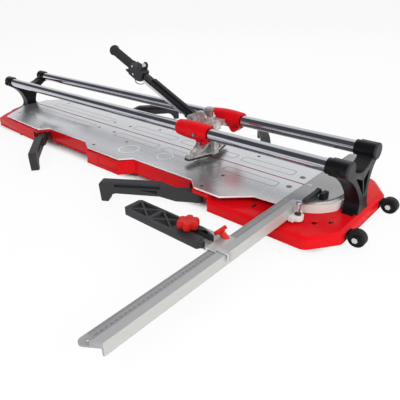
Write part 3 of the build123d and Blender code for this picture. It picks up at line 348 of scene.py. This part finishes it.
painted("red_paint", (0.64, 0.004, 0.008, 1), (0.74, 0.007, 0.012, 1), 0.32, 0.05, 0.16)
# Painted shade: a darker red for the crease of the flank frame and for the breaking bar sunk between the
# plates.
painted("red_in_painted_shade", (0.26, 0.004, 0.006, 1), (0.32, 0.006, 0.008, 1), 0.45, 0.02, 0.02)
painted("cream_paint", (0.66, 0.65, 0.62, 1), (0.74, 0.73, 0.70, 1), 0.38, 0.04, 0.15)
painted("black_enamel", (0.006, 0.006, 0.007, 1), (0.011, 0.011, 0.012, 1), 0.26, 0.03, 0.55)
moulded("black_casting", (0.004, 0.004, 0.005, 1), (0.009, 0.009, 0.010, 1), 0.30, 0.12, 900.0)
moulded("black_plastic", (0.028, 0.028, 0.030, 1), (0.042, 0.042, 0.045, 1), 0.48, 0.18, 1400.0)
moulded("red_plastic", (0.50, 0.008, 0.006, 1), (0.60, 0.014, 0.010, 1), 0.34, 0.05, 1200.0)
moulded("rubber", (0.026, 0.026, 0.027, 1), (0.036, 0.036, 0.037, 1), 0.58, 0.22, 1700.0)
moulded("wheel_tyre", (0.010, 0.010, 0.010, 1), (0.018, 0.018, 0.018, 1), 0.50, 0.15, 1500.0)
moulded("print_ink", (0.110, 0.110, 0.114, 1), (0.130, 0.130, 0.135, 1), 0.60, 0.05, 900.0)
moulded("grey_plastic", (0.150, 0.150, 0.155, 1), (0.190, 0.190, 0.195, 1), 0.50, 0.05, 1200.0)
print("finishes so far:", sorted(finishes))


# %% Metals
def worked_metal(slot, dark, light, roughness, lay, marks, metallic=1.0, tooth=0.02, cloud_scale=11.0):
    """Bare metal: scratches along one direction, clouds of oxide and a slight tooth."""
    finishes[slot], metal = new_material(slot)
    place = metal.place()
    cloud = metal.rise(metal.noise(place, cloud_scale, 2.0, 0.5), 0.30, 0.70)
    scratch = metal.noise(metal.stretch(place, lay), 1.0, 3.0, 0.6)
    metal.surface({
        "Base Color": metal.blend(0.7 * cloud + 0.3 * scratch, dark, light),
        "Metallic": metallic,
        "Roughness": roughness + marks * (scratch - 0.5) + 0.03 * (cloud - 0.5),
        "Normal": metal.bump(scratch, tooth, 0.0001),
    })


along_x = (12, 900, 900)
along_y = (900, 12, 900)
even = (500, 500, 500)
worked_metal(
    "plate_aluminium", (0.60, 0.61, 0.63, 1), (0.66, 0.67, 0.69, 1), 0.26, along_x, 0.04,
    metallic=0.9, tooth=0.01, cloud_scale=5.0,
)
worked_metal("rail_chrome", (0.50, 0.51, 0.56, 1), (0.58, 0.59, 0.64, 1), 0.12, along_x, 0.05)
worked_metal("steel", (0.50, 0.51, 0.53, 1), (0.66, 0.67, 0.68, 1), 0.26, even, 0.10)
worked_metal(
    "cast_aluminium", (0.34, 0.33, 0.315, 1), (0.84, 0.82, 0.79, 1), 0.26, even, 0.12,
    metallic=0.6, tooth=0.2, cloud_scale=75.0,
)
worked_metal("bronze", (0.42, 0.27, 0.10, 1), (0.58, 0.40, 0.17, 1), 0.30, even, 0.12)
worked_metal("scale_tape", (0.30, 0.30, 0.305, 1), (0.34, 0.34, 0.345, 1), 0.46, along_y, 0.06, 0.5)
worked_metal("swivel_metal", (0.32, 0.32, 0.325, 1), (0.38, 0.38, 0.385, 1), 0.24, along_y, 0.04, 0.8)
worked_metal("dull_steel", (0.16, 0.16, 0.165, 1), (0.24, 0.24, 0.245, 1), 0.34, even, 0.08, 0.9)
# Painted highlight: a near-white finish for thin strips and beads where edges catch the light.
worked_metal("painted_highlight", (0.86, 0.86, 0.87, 1), (0.93, 0.93, 0.94, 1), 0.40, even, 0.08, 0.25)
# Painted shade: a dark finish for the pressed lines, standing in for the shade in their creases.
worked_metal("pressed_line_shade", (0.13, 0.13, 0.135, 1), (0.18, 0.18, 0.185, 1), 0.45, even, 0.08, 0.3)
print("finishes:", sorted(finishes))

# %% Metals in two colours, and a ruler side painted lighter
finishes["ruler_aluminium"], extrusion = new_material("ruler_aluminium")
extrusion_place = extrusion.place()
across_bar = extrusion.part(extrusion_place, "X")
draw_lines = extrusion.noise(extrusion.stretch(extrusion_place, along_y), 1.0, 3.0, 0.6)
ridge_start = extrusion.rise(across_bar, 0.6755, 0.6760)
# Painted light: the ruler's side skirt gets a lighter colour than its top, so it looks lit from the side;
# the extrusion is one metal.
lighter_skirt_start = extrusion.rise(across_bar, 0.6935, 0.6945)
strip_and_ridge = extrusion.blend(ridge_start, (0.33, 0.33, 0.335, 1), (0.37, 0.37, 0.375, 1))
extrusion.surface({
    "Base Color": extrusion.blend(lighter_skirt_start, strip_and_ridge, (0.54, 0.54, 0.515, 1)),
    "Metallic": 0.35,
    "Roughness": 0.42 + 0.06 * (draw_lines - 0.5),
    "Normal": extrusion.bump(draw_lines, 0.02, 0.0001),
})

finishes["bracket_steel"], bent_sheet = new_material("bracket_steel")
sheet_place = bent_sheet.place()
knob_root = (0.652, -0.346, 0.075)
knob_axis = (-math.sqrt(0.5), 0, math.sqrt(0.5))
from_root = bent_sheet.vectors("SUBTRACT", sheet_place, knob_root)
arm = bent_sheet.vectors("CROSS_PRODUCT", from_root, knob_axis)
from_axis = bent_sheet.vectors("LENGTH", arm, output="Value")
above_sheet = bent_sheet.rise(bent_sheet.part(sheet_place, "Z"), 0.0762, 0.0766)
on_boss = above_sheet * (1 - bent_sheet.rise(from_axis, 0.0078, 0.0082))
roll_lines = bent_sheet.noise(bent_sheet.stretch(sheet_place, along_x), 1.0, 3.0, 0.6)
rolled_grey = bent_sheet.blend(roll_lines, (0.40, 0.39, 0.385, 1), (0.48, 0.47, 0.46, 1))
bent_sheet.surface({
    "Base Color": bent_sheet.blend(on_boss, rolled_grey, (0.62, 0.020, 0.016, 1)),
    "Metallic": 0.45 * (1 - on_boss),
    "Roughness": 0.34 + 0.05 * (roll_lines - 0.5),
})
print("two-coloured finishes: ruler_aluminium, bracket_steel")

# %% [markdown]
# ## Rounded edges
# Real edges are never sharp: sheet is rolled over, castings have a draft and a radius. A Bevel
# modifier rounds them, but it needs joined faces, and a solid from CAD arrives as loose triangles.
# So each piece here is a merged copy of its solid with flat neighbours joined, and the copy
# stands for the solid.


# %% Ease the edges of the solids
def finish_piece(piece, body, slot, smooth=35.0, finish=None):
    """Link a piece, give it the finish of its slot, smooth it by angle and let it ride on a body."""
    bpy.context.scene.collection.objects.link(piece)
    piece.data.materials.clear()
    piece.data.materials.append(finishes[finish or slot])
    piece.data.polygons.foreach_set("use_smooth", np.ones(len(piece.data.polygons), bool))
    piece.data.set_sharp_from_angle(angle=math.radians(smooth))
    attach(piece, body)
    return piece


# The breaking bar takes the darker red, painted shade where it sits between the plates.
own_finish = {
    "swivel_plate": "swivel_metal", "ruler_far": "swivel_metal", "head_shaft": "swivel_metal",
    "stop_bracket": "bracket_steel", "carriage_bolts": "dull_steel", "lever_tube": "black_enamel",
    "support_bolts": "black_casting", "plate_stops": "grey_plastic", "breaking_bar": "red_in_painted_shade",
}
pocketed = ("stop_fence",)


def eased_copy(node, width):
    """The solid with its triangles merged, its flat faces joined and its edges rounded.

    A face with holes can't be one polygon, so a pocketed solid keeps its triangles.
    """
    work = bmesh.new()
    work.from_mesh(nodes[node].data)
    bmesh.ops.remove_doubles(work, verts=work.verts, dist=0.004 * MM)
    if node not in pocketed:
        bmesh.ops.dissolve_limit(work, angle_limit=math.radians(0.4), verts=work.verts, edges=work.edges)
    mesh = bpy.data.meshes.new(f"{node}_eased")
    work.to_mesh(mesh)
    work.free()
    solid_copy = bpy.data.objects.new(f"{node}_eased", mesh)
    piece = finish_piece(solid_copy, body_of[node], slot_of[node], 35.0, own_finish.get(node))
    rounding = piece.modifiers.new("rounded_edges", "BEVEL")
    rounding.width = width * MM
    rounding.segments = 2
    rounding.limit_method = "ANGLE"
    rounding.angle_limit = math.radians(30)
    rounding.miter_outer = "MITER_ARC"
    rounding.harden_normals = True
    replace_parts(piece, node)
    return piece


edge_width = {
    "front_support": 1.6, "rear_support": 1.6, "base_frame": 0.9, "stop_fence": 0.9, "stop_bracket": 0.7,
    "carriage_bridge": 0.8, "breaker_foot": 0.6, "lever_tube": 2.0, "lever_hub": 1.4, "clamp_block": 1.6,
    "trigger": 1.2, "index_boss": 1.0, "clamp_lever": 1.6, "ruler_bar": 0.5, "swivel_base": 0.8,
    "swivel_plate": 0.5, "ruler_far": 0.5, "housing_left": 1.2, "housing_right": 1.2,
    "plate_left_rear": 1.2, "plate_left_front": 1.2, "plate_right_rear": 1.2, "plate_right_front": 1.2,
    "arm_rear_left": 2.2, "arm_front_left": 2.2, "arm_rear_right": 2.2, "arm_front_right": 2.2,
    "side_knob": 1.0, "rear_trim": 0.8, "wheel_brackets": 0.8, "wheel_holder": 0.6,
    "support_bolts": 0.6, "carriage_bolts": 0.6, "lever_pin": 0.7, "wheel_axles": 0.6, "pull_rod": 0.8,
    "rail_caps": 0.8, "clamp_post": 0.8, "wheel_left": 0.8, "wheel_right": 0.8, "index_plunger": 0.5,
    "plate_stops": 0.6, "head_shaft": 0.8, "clamp_roller": 0.8, "clamp_rivets": 0.5,
}
for node, width in edge_width.items():
    eased_copy(node, width)
for node, solid in nodes.items():
    solid.data.materials.clear()
    solid.data.materials.append(finishes[own_finish.get(node, slot_of[node])])
print("eased copies:", len(edge_width), "of", len(nodes), "solids")

# %% [markdown]
# ## Lines on the sheet
# The table plates carry long pressed lines beside the breaking bar and round marks. Lines could
# be drawn in a material, but then they vanish from the mesh. Here a small profile is carried along
# a path that lies in one plane, which gives lines, beads, frames and wire from one formula.


# %% A profile carried along a path
def sound(mesh):
    """The mesh with its doubled points merged and its faces turned outwards."""
    work = bmesh.new()
    work.from_mesh(mesh)
    bmesh.ops.remove_doubles(work, verts=work.verts, dist=0.0005 * MM)
    bmesh.ops.recalc_face_normals(work, faces=work.faces)
    work.to_mesh(mesh)
    work.free()
    return mesh


def carried(name, path, normal, profile, closed):
    """A profile carried along a path in one plane, in millimetres.

    Each point of the profile moves aside from the path by its first number, square to the path and
    stretched at corners so that they mitre, and out along the plane's normal by its second.
    """
    normal = np.asarray(normal, float)
    step = np.roll(path, -1, axis=0) - path
    if not closed:
        step[-1] = step[-2]
    step = step / np.linalg.norm(step, axis=1, keepdims=True)
    before = np.roll(step, 1, axis=0)
    if not closed:
        before[0] = step[0]
    tangent = step + before
    tangent = tangent / np.linalg.norm(tangent, axis=1, keepdims=True)
    mitre = 1 / np.clip(np.sum(tangent * step, axis=1, keepdims=True), 0.3, 1)
    aside = np.cross(normal, tangent) * mitre
    points = path[:, None] + profile[None, :, :1] * aside[:, None] + profile[None, :, 1:] * normal
    return sound(grid_mesh(name, points * MM, wrap_rows=closed, wrap_columns=True, capped=not closed))


def round_rectangle(low, high, radius, steps=7):
    """The outline of a rectangle with round corners: four quarter circles joined by straight sides."""
    low, high = np.asarray(low, float), np.asarray(high, float)
    turn = np.radians(np.linspace(0, 90, steps))
    quarters = turn[None] + np.radians([0, 90, 180, 270])[:, None]
    signs = np.array([(1, 1), (-1, 1), (-1, -1), (1, -1)])
    centres = (low + high) / 2 + signs * ((high - low) / 2 - radius)
    circle = np.stack([np.cos(quarters), np.sin(quarters)], axis=-1)
    return (centres[:, None] + radius * circle).reshape(-1, 2)


def on_level(plan, height_mm):
    """Plan points lifted to one height."""
    return np.column_stack([plan, np.full(len(plan), height_mm)])


def upright(section, across_mm):
    """Section points, along and up, set in the upright plane at one place across."""
    return np.column_stack([section[:, 0], np.full(len(section), across_mm), section[:, 1]])


def add_piece(mesh, body, slot, smooth=35.0, finish=None):
    return finish_piece(bpy.data.objects.new(mesh.name, mesh), body, slot, smooth, finish)


def flat_profile(width, rise):
    """A low rectangle, width across and rise high."""
    return np.array([(-width / 2, 0), (width / 2, 0), (width / 2, rise), (-width / 2, rise)])


print("carried profile of", len(flat_profile(1, 1)), "points")

# %% Pressed lines on the plates
table_top = 68.0
up = (0, 0, 1)
bead_turn = np.radians(np.linspace(0, 180, 7))
bead_profile = np.column_stack([1.4 * np.cos(bead_turn), 0.5 * np.sin(bead_turn)])
panel_spans = ((-625, -225), (-85, 128), (160, 388), (412, 590))
panel_reach = (30, 62)
ring_turn = np.radians(np.arange(0, 360, 7.5))
ring_marks = (((69, 119), 34), ((208, 88), 26))
for side, table in ((-1, "table_left"), (1, "table_right")):
    edges = sorted((side * panel_reach[0], side * panel_reach[1]))
    for number, (low_x, high_x) in enumerate(panel_spans):
        outline = round_rectangle((low_x, edges[0]), (high_x, edges[1]), 7)
        line = carried(
            f"{table}_panel_{number}", on_level(outline, table_top), up, flat_profile(2.0, 0.06), True
        )
        # The raised lines are dark: painted shade of a pressed crease.
        add_piece(line, table, "plate_aluminium", finish="pressed_line_shade")
    for number, ((ring_x, ring_y), ring_r) in enumerate(ring_marks):
        circle = ring_r * np.column_stack([np.cos(ring_turn), np.sin(ring_turn)])
        ring = np.array([ring_x, side * ring_y]) + circle
        bead = carried(f"{table}_ring_{number}", on_level(ring, table_top), up, bead_profile, True)
        # Painted highlight: each pressed ring gets the near-white finish, a light ring where the bead
        # catches the light.
        add_piece(bead, table, "plate_aluminium", 60, "painted_highlight")
print("pressed lines:", 2 * len(panel_spans), "and rings:", 2 * len(ring_marks))

# %% Painted highlights along the plate and bracket edges
edge_foot = 63.2
edge_rise = 4.6
edge_lip = 0.35
# Thin near-white strips on the plates' edges are a painted highlight along them.
rear_edge = ((-727, 63), (-640, 184), (-372, 195), (-345, 161.5), (-154.8, 161.5))
front_edge = (
    (-153.2, 161.5), (-115, 161.5), (-55, 195), (108, 195), (140, 161.5), (386, 161.5), (426, 195),
    (512, 195), (579, 136), (645, 131),
)
edge_top = edge_foot + edge_rise
edge_profile = np.array([(0, edge_foot), (0, edge_top), (-edge_lip, edge_top), (-edge_lip, edge_foot)])
for side, table in ((-1, "table_left"), (1, "table_right")):
    for name, corners in (("rear", rear_edge), ("front", front_edge)):
        plan = np.array(corners, float) * (1, side)
        strip_profile = edge_profile * (-side, 1)
        strip = carried(f"{table}_edge_{name}", on_level(plan, 0.0), up, strip_profile, False)
        add_piece(strip, table, "plate_aluminium", finish="painted_highlight")
# A thin near-white strip on the bracket's near edge is a painted highlight too.
bracket_near = -400.0
bracket_line = np.array([
    (556, 66.2), (556, 68.8), (643.2, 68.8), (643.2, 75.8), (669.2, 75.8), (669.2, 83.8), (701.8, 83.8),
    (701.8, 66.2), (699.2, 66.2), (699.2, 81.2), (671.8, 81.2), (671.8, 73.2), (645.8, 73.2), (645.8, 66.2),
])
bracket_plan = upright(bracket_line, bracket_near)
bracket_lip = bracket_plan - (0, 0.3, 0)
bracket_edge = grid_mesh(
    "bracket_edge", np.stack([bracket_plan, bracket_lip]) * MM, wrap_columns=True, capped=True
)
add_piece(sound(bracket_edge), "side_stop", "steel", finish="painted_highlight")
print("bright edges: 4 strips and the bracket")

# %% Framed field on the base flank
flank_y = 202.0
outward = {-1: (0, -1, 0), 1: (0, 1, 0)}
flank_frame = round_rectangle((6, 27), (103, 55), 3, 4)
for side in (-1, 1):
    hand = "left" if side < 0 else "right"
    frame_path = upright(flank_frame, side * flank_y)
    # The frame line takes the darker red, painted shade in its crease.
    frame_line = carried(f"flank_frame_{hand}", frame_path, outward[side], flat_profile(1.6, 0.25), True)
    add_piece(frame_line, "base", "red_paint", finish="red_in_painted_shade")
print("flank frames of", len(flank_frame), "points")

# %% [markdown]
# ## The scale
# A printed tape lies on the strip of the ruler: a tick at every millimetre, longer at five and ten,
# with the distance in centimetres from the breaking bar. Ticks are boxes worked out together from
# arrays of their ends, and the numbers are text made into mesh, so both stay sharp at any distance.


# %% Ticks
def raised_marks(name, starts, ends, width, low, high):
    """Boxes on a level face: each runs from its start to its end, half a width either side of that line."""
    along = ends - starts
    along = along / np.linalg.norm(along, axis=1, keepdims=True)
    aside = np.stack([-along[:, 1], along[:, 0]], axis=1) * width / 2
    plan = np.stack([starts - aside, ends - aside, ends + aside, starts + aside], axis=1)
    floors = [np.dstack([plan, np.full(plan.shape[:2], level)]) for level in (low, high)]
    corners = np.concatenate(floors, axis=1).reshape(-1, 3) * MM
    box = np.array([(3, 2, 1, 0), (4, 5, 6, 7), (0, 1, 5, 4), (1, 2, 6, 5), (2, 3, 7, 6), (3, 0, 4, 7)])
    faces = (box[None] + 8 * np.arange(len(starts))[:, None, None]).reshape(-1, 4)
    mesh = bpy.data.meshes.new(name)
    mesh.from_pydata(corners.tolist(), [], faces.tolist())
    mesh.update()
    return mesh


strip_top = 72.5
tape_rise = 0.10
ink_rise = 0.05
tape_top = strip_top + tape_rise
ink_top = tape_top + ink_rise
tape_spans = {"near": ((651.2, -699), (674.8, -114)), "far": ((651.2, 93), (693.8, 262))}
tick_length = {1: 3.5, 5: 5.0, 10: 7.0}
tick_margin = 0.8
tick_width = 0.32
for name, (low, high) in tape_spans.items():
    outline = round_rectangle(low, high, 1.0, 3)
    tape = grid_mesh(
        f"scale_tape_{name}", np.stack([on_level(outline, strip_top), on_level(outline, tape_top)]) * MM,
        wrap_columns=True, capped=True,
    )
    add_piece(sound(tape), "ruler", "ruler_aluminium", finish="scale_tape")
    marks = np.arange(math.ceil(low[1]) + 2, math.floor(high[1]) - 1)
    lengths = np.select(
        [marks % 10 == 0, marks % 5 == 0], [tick_length[10], tick_length[5]], tick_length[1]
    )
    tick_foot = low[0] + tick_margin
    tick_start = np.column_stack([np.full(len(marks), tick_foot), marks])
    tick_end = np.column_stack([tick_foot + lengths, marks])
    ticks = raised_marks(f"scale_ticks_{name}", tick_start, tick_end, tick_width, tape_top, ink_top)
    add_piece(ticks, "ruler", "black_plastic", finish="print_ink")
    print(name, "tape with", len(marks), "ticks")


# %% Numbers
def printed_numbers(name, labels, places, size, level, rise):
    """Flat text for each label, centred on its place, read from the front of the ruler.

    A quarter turn sends the text's own right to +Y and its own up to -X.
    """
    points, faces, count = [], [], 0
    for label, (x, y) in zip(labels, places):
        words = bpy.data.curves.new("number", "FONT")
        words.body = label
        words.size = size
        words.align_x = "CENTER"
        words.align_y = "CENTER"
        words.resolution_u = 2
        words.extrude = rise / 2
        holder = bpy.data.objects.new("number", words)
        flat = bpy.data.meshes.new_from_object(holder)
        local = np.empty(3 * len(flat.vertices))
        flat.vertices.foreach_get("co", local)
        local = local.reshape(-1, 3)
        turned_text = np.column_stack([x - local[:, 1], y + local[:, 0], level + rise / 2 + local[:, 2]])
        points.append(turned_text)
        faces += [[count + corner for corner in face.vertices] for face in flat.polygons]
        count += len(local)
        bpy.data.objects.remove(holder)
        bpy.data.curves.remove(words)
        bpy.data.meshes.remove(flat)
    mesh = bpy.data.meshes.new(name)
    mesh.from_pydata((np.concatenate(points) * MM).tolist(), [], faces)
    return sound(mesh)


number_x = 664.0
number_size = 6.4
near_marks = np.arange(-690, -115, 10)
far_marks = np.arange(100, 262, 10)
for name, marks in (("near", near_marks), ("far", far_marks)):
    labels = [str(abs(int(mark)) // 10) for mark in marks]
    places = [(number_x, mark) for mark in marks]
    numbers = printed_numbers(f"scale_numbers_{name}", labels, places, number_size, tape_top, ink_rise)
    add_piece(numbers, "ruler", "black_plastic", finish="print_ink")
    print(name, "numbers:", labels[0], "to", labels[-1])

# %% Angle marks round the swivel
swivel_place = np.array([662.0, 0.0])
swivel_top = 67.4
mark_angles = np.arange(25, 91, 2.5)
mark_angles = np.radians(np.concatenate([-mark_angles, mark_angles]))
spokes = np.column_stack([np.cos(mark_angles), np.sin(mark_angles)])
mark_rim = 104.2
mark_width = 0.5
long_foot = 99.4
short_foot = 101.4
whole_steps = np.isclose(np.degrees(np.abs(mark_angles)) % 15, 0)
mark_foot = np.where(whole_steps, long_foot, short_foot)
angle_marks = raised_marks(
    "angle_marks", swivel_place + mark_foot[:, None] * spokes, swivel_place + mark_rim * spokes,
    mark_width, swivel_top, swivel_top + ink_rise,
)
add_piece(angle_marks, "base", "black_plastic", finish="print_ink")
platform_top = 45.0
slot_top = platform_top + 0.06
# Painted shade: thin dark sheets on the platform stand in for the shade inside its slot and holes.
slot_starts = np.array([(587.0, -156.0), (571.0, -162.0), (615.0, -166.0)])
slot_ends = np.array([(587.0, -136.0), (575.0, -162.0), (620.0, -166.0)])
for number, width in enumerate((8.0, 3.0, 4.0)):
    pick = slice(number, number + 1)
    hole_shade = raised_marks(
        f"platform_slot_shade_{number}", slot_starts[pick], slot_ends[pick], width, platform_top, slot_top
    )
    add_piece(hole_shade, "base", "rubber", finish="wheel_tyre")
print("angle marks:", len(mark_angles), "platform slots:", len(slot_starts))

# %% [markdown]
# ## Turned pieces
# The grip, the star knob, the screws and the collar of the index pin are turned. Spinning a profile
# in Blender leaves seams to close, so the surface is written down directly: a point of the profile
# at a place along the axis and a radius goes round the axis as the angle grows. The pads, the wire
# and the strip on the lever sit among them and use the formulas from above.


# %% A profile turned round an axis
def turned(name, profile, foot, axis, steps=32, flutes=0, flute_depth=None, flute_power=1):
    """A profile of places along an axis and radii, turned round that axis, in millimetres.

    The point at angle t lies at foot + along * axis + radius * (cos t * side + sin t * cross). Flutes
    take flute_depth off the radius by a wave of flutes turns that goes from 0 to 1, and a higher
    flute_power makes the valleys narrower.
    """
    axis = np.asarray(axis, float) / np.linalg.norm(axis)
    side = np.cross(axis, (0, 1, 0) if abs(axis[1]) < 0.9 else (1, 0, 0))
    side = side / np.linalg.norm(side)
    cross = np.cross(axis, side)
    turn = np.arange(steps) * 2 * np.pi / steps
    spoke = np.cos(turn)[:, None] * side + np.sin(turn)[:, None] * cross
    radius = np.repeat(profile[:, 1:], steps, axis=1)
    if flutes:
        radius = radius - flute_depth[:, None] * (0.5 - 0.5 * np.cos(flutes * turn)) ** flute_power
    points = np.asarray(foot, float) + profile[:, None, :1] * axis + radius[:, :, None] * spoke
    return sound(grid_mesh(name, points * MM, wrap_columns=True))


def gathered(name, meshes):
    """Several meshes as one."""
    work = bmesh.new()
    for mesh in meshes:
        work.from_mesh(mesh)
        bpy.data.meshes.remove(mesh)
    together = bpy.data.meshes.new(name)
    work.to_mesh(together)
    work.free()
    return together


lever_foot = (257.0, 0.0, 180.0)
lever_rise = math.radians(25.2)
lever_along = np.array([-math.cos(lever_rise), 0, math.sin(lever_rise)])
lever_up = np.array([math.sin(lever_rise), 0, math.cos(lever_rise)])


def on_lever(plan, across_mm):
    """Points along and above the lever's axis, at one place across."""
    middle = np.asarray(lever_foot) + plan[:, :1] * lever_along + plan[:, 1:] * lever_up
    return middle + np.array([0, across_mm, 0])


print("lever points", tuple(lever_along.round(3)))

# %% Grip
hand_start = 309
hand_end = 391
hand_pitch = 41
grip_radius = 15.0
grip_places = np.linspace(hand_start, hand_end, 83)
ring_wave = 0.35 * np.sin((grip_places - hand_start) * 2 * np.pi / hand_pitch) ** 2
grip_middle = np.column_stack([grip_places, grip_radius - ring_wave])
grip_profile = np.concatenate([
    [(300, 0.0), (300, 14.0), (300.4, 16.2), (301.6, 17.0), (304.4, 17.0), (305.6, 16.4), (306.6, 15.2)],
    grip_middle,
    [(393.5, 15.6), (396, 17.0), (399, 18.0), (402.5, 17.6), (406.5, 15.9), (410.5, 12.4), (413, 8.0),
     (413.8, 4.0), (414, 0.0)],
])
in_the_hand = (grip_profile[:, 0] > hand_start) & (grip_profile[:, 0] < hand_end)
grip_flutes = np.where(in_the_hand, 0.5, 0.0)
grip = turned("grip_sleeve", grip_profile, lever_foot, lever_along, 144, 36, grip_flutes)
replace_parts(add_piece(grip, "lever", "rubber", 40), "lever_grip")
print("grip:", len(grip.polygons), "faces")

# %% Star knob
knob_profile = np.array([
    (69.0, 0), (69.0, 4.4), (83.5, 4.4), (83.5, 11.4), (86.0, 11.4), (86.0, 18.0), (86.6, 22.4),
    (88.4, 24.8), (90.5, 25.5), (99.5, 25.5), (101.6, 24.8), (103.2, 22.6), (104.0, 19.0),
    (103.9, 9.0), (103.0, 7.4), (103.0, 0),
])
knob_dip = np.where(knob_profile[:, 1] > 17, 0.27 * knob_profile[:, 1], 0.0)
knob_foot = (572, -375, 0)
star = turned("star_knob_lobes", knob_profile, knob_foot, up, 120, 6, knob_dip, 2)
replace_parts(add_piece(star, "star_knob", "red_plastic", 50), "star_knob")
print("star knob:", len(star.polygons), "faces")

# %% Pads under the breaker foot
pad_levels = (79.0, 84.4)
wing_outline = np.array([
    (297.2, 93.8), (314.8, 93.8), (336.9, 22.0), (340.6, 16.5), (289.2, 16.5), (289.2, 22.0),
])
pads = []
for side in (-1, 1):
    wing = wing_outline * (1, side)
    rows = np.stack([on_level(wing, level) for level in pad_levels]) * MM
    pads.append(sound(grid_mesh("pad", rows, wrap_columns=True, capped=True)))
pad_piece = add_piece(gathered("pad_shoes", pads), body_of["breaker_pads"], slot_of["breaker_pads"])
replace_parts(pad_piece, "breaker_pads")
print("pads from", pad_levels[0], "to", pad_levels[1], "mm")

# %% Countersunk screws in the plates
screw_points = ((-200, 38), (-108, 38), (-60, 166), (11, 79), (-600, 90), (440, 90))
screw_profile = np.array([
    (60.0, 0), (60.0, 4.9), (66.2, 4.9), (66.9, 4.4), (67.1, 3.6), (67.1, 2.5), (64.6, 2.2), (64.4, 0),
])
screws = [
    turned("screw", screw_profile, (x, side * y, 0), up, 18) for x, y in screw_points for side in (-1, 1)
]
screw_piece = add_piece(gathered("plate_screw_heads", screws), "base", "steel", 40, "dull_steel")
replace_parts(screw_piece, "plate_screws")
sunk_points = ((-386, 176), (438, 178), (-640, 127))
sunk_profile = np.array([(0.0, 0), (0.0, 4.6), (0.05, 4.6), (0.12, 4.2), (0.12, 0)])
for side, table in ((-1, "table_left"), (1, "table_right")):
    sunk = [turned("sunk", sunk_profile, (x, side * y, table_top), up, 24) for x, y in sunk_points]
    add_piece(gathered(f"{table}_plugs", sunk), table, "rubber", finish="wheel_tyre")
print("screws:", 2 * len(screw_points), "plugs:", 2 * len(sunk_points))

# %% Collar of the index pin, trigger wire and pull strip
collar_profile = np.array([
    (63.0, 4.5), (63.0, 7.6), (64.2, 8.0), (66.0, 7.6), (68.4, 6.0), (69.6, 5.4), (69.8, 4.5), (63.0, 4.5),
])
index_foot = (709, -143, 0)
collar = turned("index_collar", collar_profile, index_foot, up, 32)
add_piece(collar, "ruler", "black_plastic", 40)

wire_knots = np.array([(226, -14), (231, -24), (243, -33), (256, -38), (266, -36), (272, -27)], float)
knot_place = np.linspace(0, 1, len(wire_knots))
fine_place = np.linspace(0, 1, 41)
wire_fits = [np.polyfit(knot_place, wire_knots[:, way], 4) for way in (0, 1)]
wire_curve = np.stack([np.polyval(fit, fine_place) for fit in wire_fits], axis=1)
wire_turn = np.radians(np.arange(0, 360, 36))
wire_radius = 1.7
wire_profile = wire_radius * np.column_stack([np.cos(wire_turn), np.sin(wire_turn)])
wire_across = -9.0
wire = carried("trigger_wire", on_lever(wire_curve, wire_across), (0, 1, 0), wire_profile, False)
add_piece(wire, "lever", "steel", 60)
strip_ends = np.array([(44, -10.5), (228, -10.5)], float)
strip_path = on_lever(strip_ends, -11.7)
pull_strip = carried("pull_strip", strip_path, (0, -1, 0), flat_profile(9.0, 1.6), False)
add_piece(pull_strip, "lever", "steel")
print("wire:", len(wire.polygons), "faces; pull strip:", strip_ends[1, 0] - strip_ends[0, 0], "mm long")
